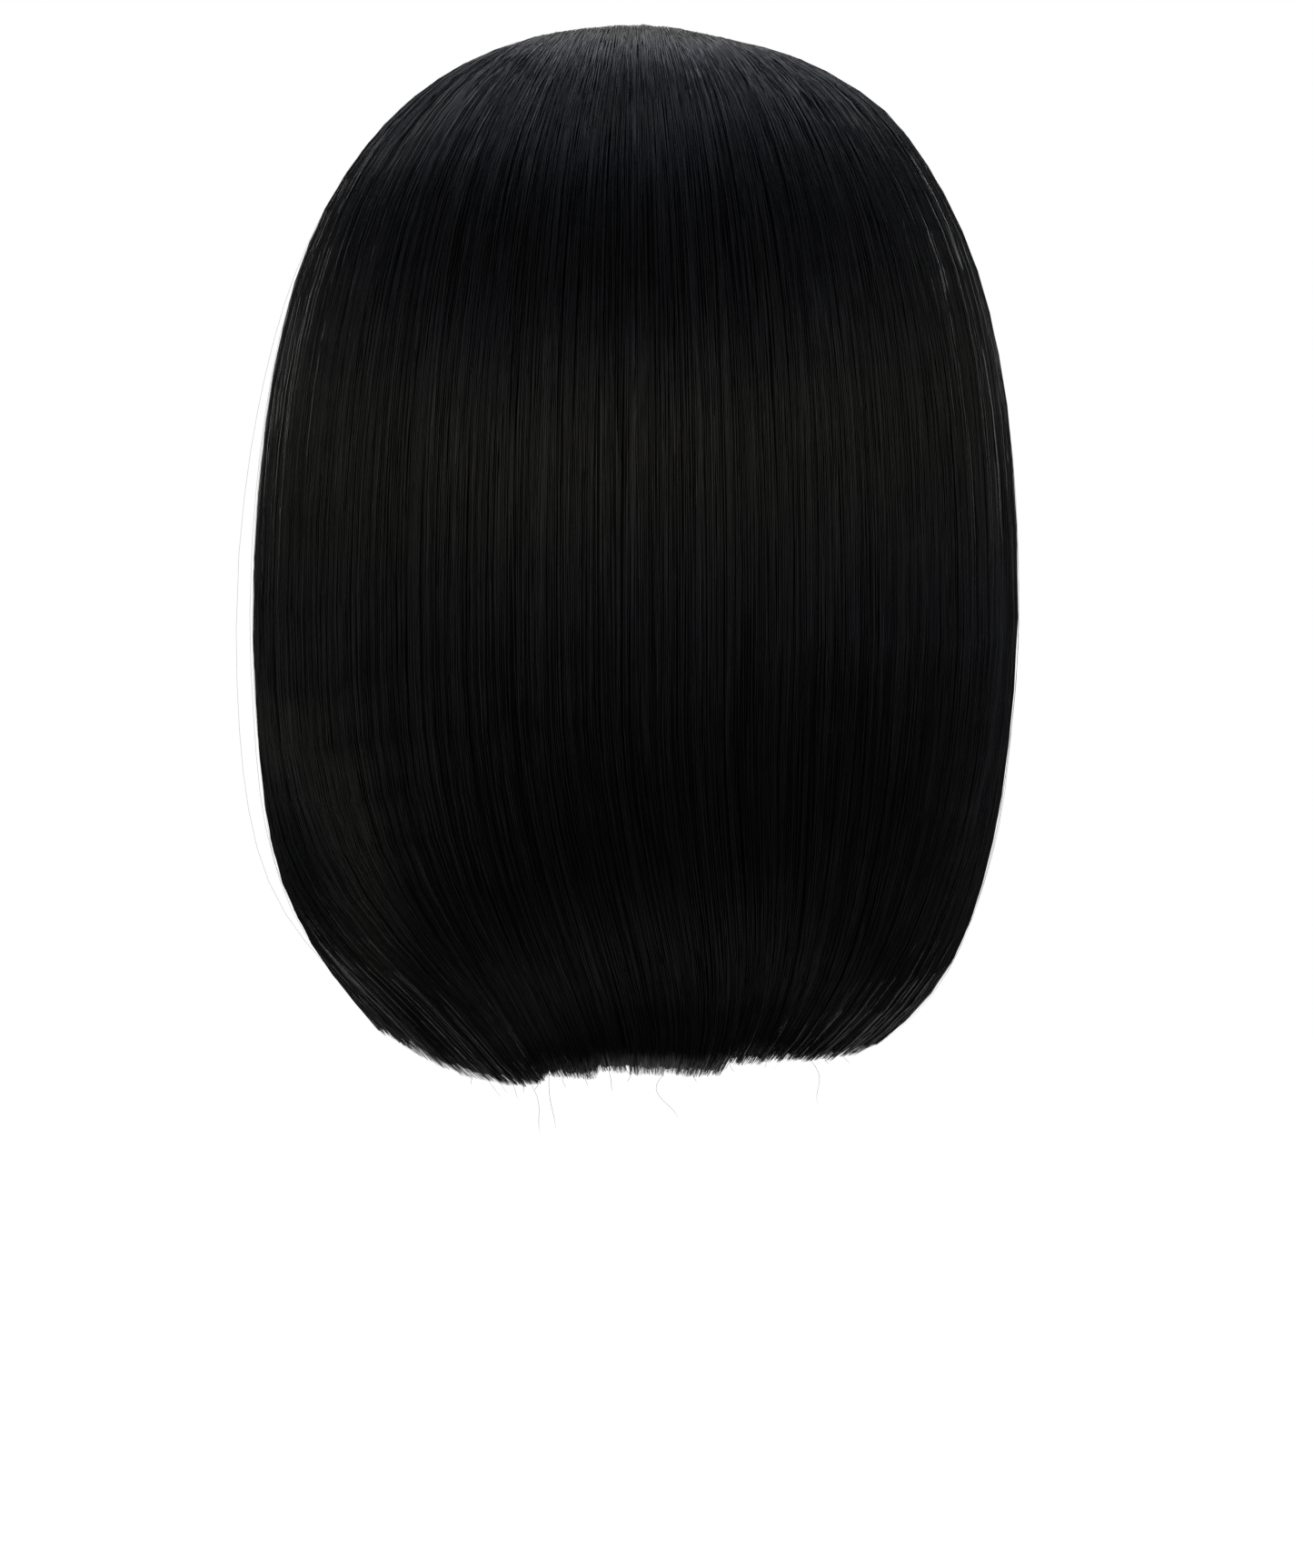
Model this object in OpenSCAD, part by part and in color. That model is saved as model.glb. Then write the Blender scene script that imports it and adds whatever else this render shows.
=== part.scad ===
// Costume wig: a short black bob with a centre parting, a fringe and an adjustable cap.
// Millimetres. +Z up, the wearer faces -Y, the wearer's left is +X.
// The origin is the centre of the head at the brow line, where the cap seats.
// Azimuth is counted round the head: 0 is the forehead, 90 the left ear, 180 the nape.

/* [Cap] */
// Width of the head that the cap fits
head_w = 152; // [130:1:185]
// Length of the head from forehead to back
head_l = 192; // [170:1:230]
// Height of the crown above the brow line
crown_h = 98; // [85:1:118]
// Depth below the brow line at which the cap's curve would close
cap_drop = 120; // [105:1:145]
// Height of the front hairline above the brow line
front_z = 48; // [38:1:56]
// Height of the top of the ear cut-out
ear_z = 0; // [-6:1:6]
// Height of the nape edge, below the brow line
nape_z = -88; // [-96:1:-80]

/* [Hair shape] */
// How far the hair stands out from the head at each side
side_volume = 33; // [26:1:45]
// How far the hair stands out in front
front_volume = 17; // [15:1:26]
// How far the hair stands out at the back
back_volume = 28; // [24:1:40]
// How far the hair stands above the crown
crown_volume = 14; // [12:1:20]
// Height from the widest part up to the top of the hair
upper_h = 163; // [140:1:195]
// Length of the bob from its top to its hem
bob_h = 297; // [245:1:330]
// Roundness of the outline: 2 is an ellipse, more is boxier
fullness = 2.5; // [2.2:0.1:3]
// Angle round the outline at which the ends are cut
hem_angle = 151.5; // [146:0.5:154]
// How much further the left of the nape hangs than its right, as an angle of the outline
hem_slant = 6; // [0:0.5:8]
// How much higher the ends are at the left side than behind, as an angle of the outline
left_lift = 12; // [0:0.5:14]
// How much higher the ends are at the right side than behind, as an angle of the outline
right_lift = 3; // [0:0.5:14]
// Thickness of the loose outer hair at its fullest
veil_t = 8; // [6:0.5:10]
// Thickness of the outer hair at the hem
hem_t = 4.5; // [3:0.5:6]
// Thickness of the crown hair
crown_t = 5; // [4:0.5:7]
// Thickness of the fringe
fringe_t = 4; // [3:0.5:5]
// Free space between the outer hair and the rows under it
veil_gap = 1.6; // [1:0.1:3]

/* [Parting] */
// Front end of the parting
part_front = -45; // [-55:1:-35]
// Rear end of the parting
part_rear = 25; // [15:1:35]
// Width of the parting strip
strip_w = 20; // [16:1:26]

/* [Loose hair] */
// Azimuth at which the fringe ends and the side hair starts
fringe_edge = 40; // [34:1:46]
// Azimuth at which the side hair ends and the back hair starts
back_edge = 120; // [110:1:130]
// Height at which the fringe folds up
fringe_top = 50; // [44:1:56]
// Height at which the side hair folds out
side_top = 25; // [15:1:34]
// Height at which the back hair folds out
back_top = 10; // [0:1:20]
// Height of the fringe's ends
fringe_hem = -10; // [-20:1:5]

/* [Wefts] */
// Number of weft rows
weft_rows = 8; // [6:1:8]
// Number of the lower rows, which stay on the back of the head
back_rows = 4; // [2:1:5]
// Height of the lowest row
first_row_z = -80; // [-84:1:-72]
// Height between two rows
row_pitch = 18; // [14:1:19]
// Height of a weft track
track_h = 6; // [4:1:8]
// Thickness of a weft track
track_t = 2; // [1:0.5:2.5]

/* [Cloth] */
// Thickness of the ribbons and bands
band_t = 0.8; // [0.6:0.1:1.2]
// Width of the ribbons
ribbon_w = 12; // [8:1:16]
// Height of the front band
front_band_h = 16; // [10:1:20]
// Height of the nape band
nape_band_h = 20; // [14:1:24]
// Height of the elastic behind the ears
elastic_h = 7; // [5:1:9]
// Thickness of the net
net_t = 0.6; // [0.4:0.1:1]
// Free space between two layers of cloth
cloth_gap = 0.2; // [0.1:0.1:0.4]
// Free space on each side of the net, which follows the head more coarsely than the bands do
net_gap = 1; // [0.9:0.1:1.3]

/* [Ear tabs] */
// Azimuth of the middle of the ear tab
tab_at = 79; // [74:1:82]
// Width of the ear tab
tab_w = 24; // [18:1:28]
// Length of the ear tab
tab_l = 30; // [22:1:38]

/* [Adjusters] */
// Distance between two loops
loop_pitch = 10; // [8:1:12]
// Number of loops on each side
loops = 3; // [2:1:4]
// Height of the loops' centre line
adjuster_z = -74; // [-78:1:-70]
// Width of the elastic strap
strap_w = 8; // [6:1:10]
// Thickness of the hook's wire
wire_d = 1.2; // [0.9:0.1:1.6]

/* [Hidden] */

// Layers on the cap, as distances outside the head
band_in = band_t + cloth_gap;
band_out = band_in + band_t;
net_in = band_out + net_gap;
net_out = net_in + net_t;
track_in = net_out + net_gap;
track_out = track_in + track_t;
hair_in = track_out + net_gap;

// Outer hair
half_w = head_w / 2 + side_volume;
front_d = head_l / 2 + front_volume;
back_d = head_l / 2 + back_volume;
top_z = crown_h + crown_volume;
wide_z = top_z - upper_h;
lower_h = (bob_h - upper_h) / pow(-cos(hem_angle), 2 / fullness);
part_half = (part_rear - part_front) / 2;
part_mid = (part_rear + part_front) / 2;
part_fade = 2;
strip_past = 4;
seam_gap = 0.7;
seam_angle = 0.3;

// Outline of the cap's plan and profile, and the azimuths at which its lower edge turns
cap_round = 2.2;
front_turn = 30;
ear_front = 66;
ear_rear = 112;
nape_from = 148;

// Inside of the hair mass, as shares of the cap's plan
side_turn_z = -60;
side_hem_share = 0.66;
back_turn_z = -70;
back_hem_share = 0.55;
hem_z = top_z - bob_h;

behind_turn = 26;

// Weft rows: how thick a row is at its root and how soon it is full
root_weight = 0.3;
grow_h = 80;
row_gap_share = 0.15;
front_fill = 0.15;
rows_from = 50;
back_rows_from = 120;
tip_theta = hem_angle - 10;
tip_steps = 7;

// Crown hair
root_theta = 1;
crown_blend = 22;

// Places on the cap
ribbon_gap = 2;
ribbon_end_gap = 0.3;
centre_azimuth = 180;
inner_azimuth = 152;
outer_azimuth = 122;
outer_ribbon_drop = 29;
front_band_end = 62;
crown_track_w = 4;
crown_track_gap = 3;
fringe_track_up = 6;

// Ear tabs and their stays
tab_gap = 1.5;
tab_rounding = 0.45;
stay_w = 5;
stay_t = 0.6;
stay_inset = 2;
stay_margin = 9;

// Adjusters
adjust_at = 38;
strap_turn = 24;
tape_past = 1;
loop_stand = 1.6;
loop_t = 0.5;
loop_w = 3;
hook_at = 1.1;
hook_ring_w = 5;
hook_tongue_l = 9;
hook_clear = 0.8;
strap_clear = 0.8;

phi_step = 10;

black = [0.02, 0.02, 0.022];
dark_cloth = [0.06, 0.06, 0.065];
skin = [0.78, 0.62, 0.5];
steel = [0.6, 0.6, 0.62];

function lerp(a, b, u) = a + (b - a) * u;
function clamp01(u) = min(1, max(0, u));
function ease(u) = let (v = clamp01(u)) v * v * (3 - 2 * v);
function signed_pow(v, e) = sign(v) * pow(abs(v), e);
// Whole steps between two angles, with both ends kept
function span(a, b, step) =
    let (n = max(1, round(abs(b - a) / step)))
    [for (i = [0 : n]) lerp(a, b, i / n)];

// ---- Outer hair surface: theta is the angle down the outline, 0 at the top and 90 at the widest
function out_r(theta) = pow(abs(sin(theta)), 2 / fullness);
function out_z(theta) = wide_z + (theta < 90 ? upper_h : lower_h) * signed_pow(cos(theta), 2 / fullness);
function theta_at(z) =
    let (share = (z - wide_z) / (z > wide_z ? upper_h : lower_h))
    acos(signed_pow(share, fullness / 2));
function depth_at(phi) = cos(phi) > 0 ? front_d : back_d;
// Strands leave the parting line beside their own azimuth and the shift fades down the head
function part_shift(phi, r) = (part_mid - part_half * cos(phi)) * pow(1 - r, part_fade);
// A point t inside the outer hair, measured level
function veil_pt(phi, theta, t) =
    let (r = out_r(theta))
    [(half_w * r - t) * sin(phi), part_shift(phi, r) - (depth_at(phi) * r - t) * cos(phi), out_z(theta)];
// A point t inside the crown, measured along each half axis
function crown_pt(phi, theta, t) =
    let (r = out_r(theta), z = wide_z + (upper_h - t) * pow(cos(theta), 2 / fullness))
    [(half_w - t) * r * sin(phi), part_shift(phi, r) - (depth_at(phi) - t) * r * cos(phi), z];
function veil_thickness(theta) =
    theta < 90 ? veil_t : lerp(veil_t, hem_t, pow((theta - 90) / (hem_angle - 90), 2));
// The lift is at the sides alone: a high power of the sine is nothing at the nape
function hem_theta(phi) =
    let (lift = sin(phi) > 0 ? left_lift : right_lift)
    hem_angle + hem_slant * sin(phi) / 2 - lift * pow(sin(phi), 6);

// ---- Cap surface
function cap_share(z, off) =
    let (h = z > 0 ? crown_h + off : cap_drop + off)
    pow(max(0, 1 - pow(abs(z) / h, cap_round)), 1 / cap_round);
function cap_pt(phi, z, off) =
    let (s = cap_share(z, off))
    [(head_w / 2 + off) * s * sin(phi), -(head_l / 2 + off) * s * cos(phi), z];
// The same curve by the angle down it, 0 at the crown and 90 at the brow line
function cap_z(angle, off) =
    (angle < 90 ? crown_h + off : cap_drop + off) * signed_pow(cos(angle), 2 / cap_round);
function cap_angle(z, off = 0) = acos(signed_pow(z / ((z > 0 ? crown_h : cap_drop) + off), cap_round / 2));
// Height of the cap over a point of its plan
function cap_top(x, y, off) =
    let (rho = norm([x / (head_w / 2 + off), y / (head_l / 2 + off)]))
    (crown_h + off) * pow(max(0, 1 - pow(rho, cap_round)), 1 / cap_round);
// The cap's lower edge, by azimuth from the forehead
function edge_z(phi) = lookup(abs(phi) > 180 ? 360 - abs(phi) : abs(phi), [
    [0, front_z], [front_turn, front_z - 4],
    [lerp(front_turn, ear_front, 0.6), lerp(front_z, ear_z, 0.55)], [ear_front, ear_z], [ear_rear, ear_z],
    [lerp(ear_rear, nape_from, 0.5), lerp(ear_z, nape_z, 0.55)], [nape_from, nape_z], [180, nape_z]
]);

// ---- Inside of the hair mass and the share that each weft row takes
function side_share(z) =
    z > 0 ? cap_share(z, hair_in)
    : z > side_turn_z ? 1
    : lerp(1, side_hem_share, pow((side_turn_z - z) / (side_turn_z - hem_z), 2));
function back_share(z) =
    let (down = (back_turn_z - z) / (back_turn_z - hem_z))
    z > back_turn_z ? cap_share(z, hair_in) : lerp(cap_share(back_turn_z, hair_in), back_hem_share, down);
function inner_share(phi, z) = lerp(side_share(z), back_share(z), behind_ear(phi));
function behind_ear(phi) = ease((180 - abs(180 - phi) - ear_rear) / behind_turn);
// The lower rows stay behind the ears and leave little room to the others there
function row_fill(phi) = max(front_fill, behind_ear(phi));
function row_z(k) = first_row_z + (k - 1) * row_pitch;
function row_weight(k, phi, z) =
    (root_weight * clamp01((row_z(k + 1) - z) / row_pitch) + clamp01((row_z(k) - z) / grow_h))
    * (k > back_rows ? 1 : row_fill(phi));
function sum_to(k, phi, z) = k < 1 ? 0 : row_weight(k, phi, z) + sum_to(k - 1, phi, z);
function row_top_weight(phi) = (1 + root_weight) * (weft_rows - back_rows + back_rows * row_fill(phi));
// A point of the hair mass: u is 0 on its inside and 1 under the outer hair
function mass_pt(phi, theta, u) =
    let (z = out_z(theta), s = inner_share(phi, z),
         outer = veil_pt(phi, theta, veil_thickness(theta) + veil_gap),
         inner = [(head_w / 2 + hair_in) * s * sin(phi), -(head_l / 2 + hair_in) * s * cos(phi), z])
    lerp(inner, outer, u);
function row_share(k, phi, z) = sum_to(k, phi, z) / row_top_weight(phi);

// ---- Solids from two grids of points of one size, the first outside
function flat(rows) = [for (row = rows) each row];
function quad(a, b, c, d) = [[c, b, a], [d, c, a]];
function sheet_faces(m, n, start, out) = [
    for (i = [0 : m - 2], j = [0 : n - 2])
        let (a = start + i * n + j, b = a + n, c = b + 1, d = a + 1)
        each out ? quad(a, d, c, b) : quad(a, b, c, d)
];
function rim_faces(m, n, far) = concat(
    [for (i = [0 : m - 2]) let (a = i * n, b = a + n) each quad(a, b, b + far, a + far)],
    [for (i = [0 : m - 2]) let (a = i * n + n - 1, b = a + n) each quad(b, a, a + far, b + far)],
    [for (j = [0 : n - 2]) let (a = j, b = j + 1) each quad(b, a, a + far, b + far)],
    [for (j = [0 : n - 2]) let (a = (m - 1) * n + j, b = a + 1) each quad(a, b, b + far, a + far)]
);
// Columns run round the head with rising azimuth, rows run down
module shell(outer, inner) {
    m = len(outer);
    n = len(outer[0]);
    far = m * n;
    polyhedron(
        points = concat(flat(outer), flat(inner)),
        faces = concat(sheet_faces(m, n, 0, true), sheet_faces(m, n, far, false), rim_faces(m, n, far)),
        convexity = 6
    );
}

module other_side(side) {
    mirror([side < 0 ? 1 : 0, 0, 0]) children();
}

// A band that lies on the cap between two heights, which may change with the azimuth
module cap_band(phis, low, high, in_off, out_off, rows = 2) {
    function grid(off) = [
        for (i = [0 : len(phis) - 1])
            [for (j = [0 : rows]) cap_pt(phis[i], lerp(high[i], low[i], j / rows), off)]
    ];
    shell(grid(out_off), grid(in_off));
}

// A ribbon that runs down the cap at one azimuth
module cap_ribbon(phi, high, low) {
    along_plan = [head_w * cos(phi), head_l * sin(phi), 0];
    across = along_plan / norm(along_plan) * ribbon_w / 2;
    angles = span(cap_angle(high, band_out), cap_angle(low, band_out), phi_step);
    function grid(off) = [
        for (side = [-1, 1]) [for (a = angles) cap_pt(phi, cap_z(a, off), off) + side * across]
    ];
    shell(grid(band_out), grid(band_in));
}

// ---- Cap
module crown_net() {
    net_step = 5;
    phis = [for (p = [0 : net_step : 360 - net_step]) p];
    m = len(phis);
    rings = 13;
    first_ring = 5;
    function ring_z(phi, j, off) = cap_z(lerp(first_ring, cap_angle(edge_z(phi)), j / rings), off);
    function sheet(off) = concat(
        [[0, 0, crown_h + off]],
        [for (phi = phis, j = [0 : rings]) cap_pt(phi, ring_z(phi, j, off), off)]
    );
    n = rings + 1;
    far = 1 + m * n;
    function at(i, j) = 1 + (i % m) * n + j;
    function pole(i, start) = [start, start + at(i + 1, 0), start + at(i, 0)];
    function turned(f) = [f[0], f[2], f[1]];
    function net_faces(start, out) = concat(
        [for (i = [0 : m - 1]) out ? pole(i, start) : turned(pole(i, start))],
        [for (i = [0 : m - 1], j = [0 : rings - 1])
            let (a = start + at(i, j), b = start + at(i + 1, j), c = start + at(i + 1, j + 1),
                 d = start + at(i, j + 1))
            each out ? quad(a, d, c, b) : quad(a, b, c, d)]
    );
    color(dark_cloth) polyhedron(
        points = concat(sheet(net_out), sheet(net_in)),
        faces = concat(
            net_faces(0, true), net_faces(far, false),
            [for (i = [0 : m - 1])
                let (a = at(i, rings), b = at(i + 1, rings))
                each quad(b, a, a + far, b + far)]
        ),
        convexity = 6
    );
}

module parting_strip() {
    xs = span(-strip_w / 2, strip_w / 2, 5);
    ys = span(part_rear + strip_past, part_front - strip_past, 6);
    function grid(off) = [for (x = xs) [for (y = ys) [x, y, cap_top(x, y, off)]]];
    color(skin) shell(grid(track_in + band_t), grid(track_in));
}

module front_band() {
    phis = span(-front_band_end, front_band_end, phi_step);
    color(dark_cloth) cap_band(
        phis, [for (p = phis) edge_z(p)], [for (p = phis) edge_z(p) + front_band_h], band_in, band_out
    );
}

module nape_band() {
    phis = span(nape_from, 360 - nape_from, phi_step / 2);
    color(dark_cloth) cap_band(
        phis, [for (p = phis) nape_z], [for (p = phis) nape_z + nape_band_h], band_in, band_out, 3
    );
}

module crown_ribbon() {
    ribbon_low = ear_z + elastic_h + ribbon_gap;
    arc = span(-90, 90, 9);
    function grid(off) = [
        for (side = [-1, 1]) [
            for (a = arc)
                let (up = pow(cos(a), 2 / cap_round), z = lerp(ribbon_low, crown_h + off, up),
                     s = cap_share(min(z, crown_h + off), off))
                [(head_w / 2 + off) * (abs(a) < 1 ? 0 : sign(a) * s), side * ribbon_w / 2, z]
        ]
    ];
    color(dark_cloth) shell(grid(band_out), grid(band_in));
}

// Top ends of the ribbons stop short of the ribbon over the head
function ribbon_start(phi) =
    let (y = ribbon_w / 2 + ribbon_gap, rho = y / max(0.2, abs(cos(phi))))
    cap_top(rho * sin(phi), rho * cos(phi), band_out);
nape_ribbon_end = nape_z + nape_band_h + ribbon_end_gap;
module centre_ribbon() {
    color(dark_cloth) cap_ribbon(centre_azimuth, ribbon_start(centre_azimuth), nape_ribbon_end);
}
module inner_ribbon(side) {
    // Its corner stands nearer to the centre ribbon than its middle, so it starts lower
    corner_drop = 7;
    color(dark_cloth) other_side(side)
        cap_ribbon(inner_azimuth, ribbon_start(inner_azimuth) - corner_drop, nape_ribbon_end);
}
module outer_ribbon(side) {
    corner = outer_azimuth - ribbon_w / 2 / (head_w / 2) * 180 / PI;
    color(dark_cloth) other_side(side)
        cap_ribbon(outer_azimuth, crown_h - outer_ribbon_drop, edge_z(corner) + elastic_h + ribbon_end_gap);
}

module ear_elastic(side) {
    // From just behind the ribbon over the head to the nape band
    first = 92;
    phis = span(first, nape_from - 1, phi_step / 2);
    color(dark_cloth) other_side(side) cap_band(
        phis, [for (p = phis) edge_z(p)], [for (p = phis) edge_z(p) + elastic_h], band_in, band_out, 1
    );
}

// ---- Ear tabs: the tab bends on a line along Y just under the cap's edge
module ear_tab(side) {
    half = tab_w / 2 / (head_l / 2) * 180 / PI;
    phis = span(tab_at - half, tab_at + half, 4);
    tab_top = ear_z - tab_gap;
    lows = [for (p = phis) let (u = (p - tab_at) / half) tab_top - tab_l * (1 - tab_rounding * u * u)];
    color(dark_cloth) other_side(side) cap_band(
        phis, lows, [for (p = phis) tab_top], band_in, band_out, 3
    );
}
module ear_stay(side) {
    stay_l = tab_l - stay_margin;
    stay_top = ear_z - tab_gap - stay_inset;
    base = cap_pt(tab_at, stay_top - stay_l / 2, 0);
    narrowing = cap_pt(tab_at, stay_top, 0)[0] - cap_pt(tab_at, stay_top - stay_l, 0)[0];
    color(steel) other_side(side)
        translate(base) rotate([0, 0, tab_at - 90]) rotate([0, atan2(narrowing, stay_l), 0])
            hull() for (end = [-1, 1])
                translate([stay_t / 2, 0, end * (stay_l - stay_w) / 2]) rotate([0, 90, 0])
                    cylinder(h = stay_t, r = stay_w / 2, center = true, $fn = 24);
}

// ---- Adjusters: each side's hook turns about the centre of the nape's own curve
nape_a = (head_w / 2) * cap_share(adjuster_z, 0);
nape_b = (head_l / 2) * cap_share(adjuster_z, 0);
adjust_x = -(nape_b * nape_b - nape_a * nape_a) / nape_a * pow(sin(adjust_at), 3);
adjust_y = (nape_b * nape_b - nape_a * nape_a) / nape_b * pow(cos(adjust_at), 3);
nape_r = pow(pow(nape_a * cos(adjust_at), 2) + pow(nape_b * sin(adjust_at), 2), 1.5) / (nape_a * nape_b);
nape_face = atan2(nape_b * sin(adjust_at), nape_a * cos(adjust_at));
loop_turn = loop_pitch / nape_r * 180 / PI;
tape_in = -band_t - cloth_gap;
// The nape's slope, from how far it stands out a little above and below the loops
function nape_out(z) = cap_pt(180 - adjust_at, z, 0) * [sin(nape_face), cos(nape_face), 0];
nape_lean = atan2(nape_out(adjuster_z + 5) - nape_out(adjuster_z - 5), 10);
// Azimuth of a place on the nape, so many millimetres of arc from the middle loop towards the ear
function strap_azimuth(arc) = 180 - adjust_at - arc / nape_r * 180 / PI;
// Puts a piece on the nape, turned round by so many loops from the middle one, off outside the head
module on_nape(turns, off) {
    translate([adjust_x, adjust_y, adjuster_z])
        rotate([0, 0, -nape_face - turns * loop_turn])
            translate([0, nape_r + off, 0])
                rotate([-nape_lean, 0, 0]) children();
}
module loop_tape(side) {
    // Stops half a wire short of the strap, on the hook's side as on the other
    reach = (loops + 1) / 2 * loop_pitch - wire_d / 2;
    tape_h = strap_w + 2 * tape_past;
    phis = span(strap_azimuth(reach), strap_azimuth(-reach), phi_step / 2);
    color(dark_cloth) other_side(side) cap_band(
        phis, [for (p = phis) adjuster_z - tape_h / 2], [for (p = phis) adjuster_z + tape_h / 2],
        tape_in, -cloth_gap, 1
    );
}
module loop_set(side) {
    loop_h = strap_w;
    color(dark_cloth) other_side(side)
        for (i = [0 : loops - 1])
            on_nape(i - (loops - 1) / 2, tape_in - 0.5)
                difference() {
                    translate([-loop_w / 2, -loop_stand - loop_t, -loop_h / 2])
                        cube([loop_w, loop_stand + loop_t, loop_h]);
                    translate([-loop_w, -loop_stand, -loop_h / 2 + loop_t])
                        cube([2 * loop_w, loop_stand + 1, loop_h - 2 * loop_t]);
                }
}
module adjuster_hook(side) {
    ring_h = strap_w + 1;
    tongue_h = strap_w - 3;
    // Clear of the tape by the wire and some play
    hook_off = tape_in - wire_d / 2 - 1.5 * hook_clear;
    color(steel) other_side(side)
        on_nape((loops - 1) / 2 + hook_at, hook_off) {
            for (end = [-1, 1]) {
                translate([end * hook_ring_w / 2, 0, 0])
                    cylinder(h = ring_h, d = wire_d, center = true, $fn = 24);
                translate([0, 0, end * (ring_h - wire_d) / 2]) rotate([0, 90, 0])
                    cylinder(h = hook_ring_w, d = wire_d, center = true, $fn = 24);
            }
            translate([-hook_ring_w / 2 - hook_tongue_l, -wire_d / 4, -tongue_h / 2])
                cube([hook_tongue_l, wire_d / 2, tongue_h]);
        }
}
module adjuster_strap(side) {
    hook_arc = ((loops - 1) / 2 + hook_at) * loop_pitch + hook_ring_w / 2 + wire_d / 2;
    near = strap_azimuth(hook_arc + strap_clear);
    phis = span(near - strap_turn, near, 4);
    function mid_z(p) = lerp(adjuster_z, edge_z(p) + strap_w, clamp01((near - p) / strap_turn));
    color(dark_cloth) other_side(side) cap_band(
        phis, [for (p = phis) mid_z(p) - strap_w / 2], [for (p = phis) mid_z(p) + strap_w / 2],
        tape_in, -cloth_gap, 1
    );
}

// ---- Tracks
function row_from(k) = k > back_rows ? rows_from : back_rows_from;
module weft_track(k) {
    phis = span(row_from(k), 360 - row_from(k), phi_step);
    color(black) cap_band(
        phis, [for (p = phis) row_z(k) - track_h / 2], [for (p = phis) row_z(k) + track_h / 2],
        track_in, track_out, 1
    );
}
module fringe_track() {
    end = fringe_edge - 6;
    low = fringe_top + fringe_track_up;
    phis = span(-end, end, phi_step);
    color(black) cap_band(
        phis, [for (p = phis) low], [for (p = phis) low + track_h], track_in, track_out, 1
    );
}
// An oval ring of track round the parting strip
module crown_track() {
    turns = 36;
    // The oval's ends stand twice as far off the strip as its sides, to clear the strip's corners
    inner_x = strip_w / 2 + crown_track_gap;
    inner_y = part_half + strip_past + 2 * crown_track_gap;
    squareness = 0.45;
    function ring(grow, off) = [
        for (i = [0 : turns - 1])
            let (a = -i * 360 / turns, x = (inner_x + grow) * signed_pow(sin(a), squareness),
                 y = part_mid + (inner_y + grow) * signed_pow(cos(a), squareness))
            [x, y, cap_top(x, y, off)]
    ];
    rings = concat(
        ring(0, track_in), ring(0, track_out), ring(crown_track_w, track_out), ring(crown_track_w, track_in)
    );
    color(black) polyhedron(
        points = rings,
        faces = [
            for (j = [0 : 3], i = [0 : turns - 1])
                let (a = j * turns + i, b = j * turns + (i + 1) % turns,
                     c = ((j + 1) % 4) * turns + (i + 1) % turns, d = ((j + 1) % 4) * turns + i)
                each quad(a, d, c, b)
        ],
        convexity = 6
    );
}

// ---- Weft hair: row k fills its share of the space between the cap and the outer hair
// All rows share one grid: the heights of the row roots, then even steps down to the tips.
// Two rows at a time end one step higher, so that the ends turn under.
module weft_hair(k) {
    phis = span(row_from(k), 360 - row_from(k), phi_step);
    first_theta = theta_at(first_row_z);
    roots = [for (j = [k : -1 : 1]) theta_at(row_z(j))];
    last_step = tip_steps - floor((weft_rows - k) / 2);
    thetas = concat(roots, [for (j = [1 : last_step]) lerp(first_theta, tip_theta, j / tip_steps)]);
    function grid(outside) = [
        for (phi = phis) [
            for (theta = thetas)
                let (z = out_z(theta), hi = row_share(k, phi, z), lo = row_share(k - 1, phi, z))
                mass_pt(phi, theta, outside ? hi : lerp(lo, hi, row_gap_share))
        ]
    ];
    color(black) shell(grid(true), grid(false));
}

// ---- Crown hair: fixed, from the parting down to the line where the loose hair starts
function crown_edge_z(phi) = phi < fringe_edge ? fringe_top : phi < back_edge ? side_top : back_top;
function crown_thickness(theta) =
    lerp(crown_volume - track_out - cloth_gap, crown_t, ease(theta / crown_blend));
function edge_columns(a, b) = span(a + seam_gap, b - seam_gap, phi_step);
module crown_hair(side) {
    phis = concat(
        span(seam_angle, fringe_edge - seam_gap, phi_step),
        edge_columns(fringe_edge, back_edge),
        span(back_edge + seam_gap, 180 - seam_angle, phi_step)
    );
    rows = 7;
    function grid(outside) = [
        for (phi = phis) [
            for (j = [0 : rows])
                let (theta = lerp(root_theta, theta_at(crown_edge_z(phi) + seam_gap), j / rows),
                     t = outside ? 0 : crown_thickness(theta))
                lerp(crown_pt(phi, theta, t), veil_pt(phi, theta, t), pow(j / rows, 2))
        ]
    ];
    color(black) other_side(side) shell(grid(true), grid(false));
}

// ---- Loose hair
module loose_hair(phis, top, rows, t_scale = 1) {
    function grid(outside) = [
        for (phi = phis) [
            for (j = [0 : rows])
                let (theta = lerp(theta_at(top), hem_theta(phi), j / rows))
                veil_pt(phi, theta, outside ? 0 : veil_thickness(theta) * t_scale)
        ]
    ];
    color(black) shell(grid(true), grid(false));
}
module back_hair() {
    loose_hair(span(back_edge + seam_gap, 360 - back_edge - seam_gap, phi_step), back_top, 10);
}
module left_side_hair() {
    loose_hair(edge_columns(fringe_edge, back_edge), side_top, 11);
}
module right_side_hair() {
    loose_hair(edge_columns(360 - back_edge, 360 - fringe_edge), side_top, 11);
}
module fringe() {
    phis = span(-fringe_edge + seam_gap, fringe_edge - seam_gap, phi_step);
    rows = 5;
    function grid(t) = [
        for (phi = phis) [
            for (j = [0 : rows]) veil_pt(phi, lerp(theta_at(fringe_top), theta_at(fringe_hem), j / rows), t)
        ]
    ];
    color(black) shell(grid(0), grid(fringe_t));
}

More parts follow.
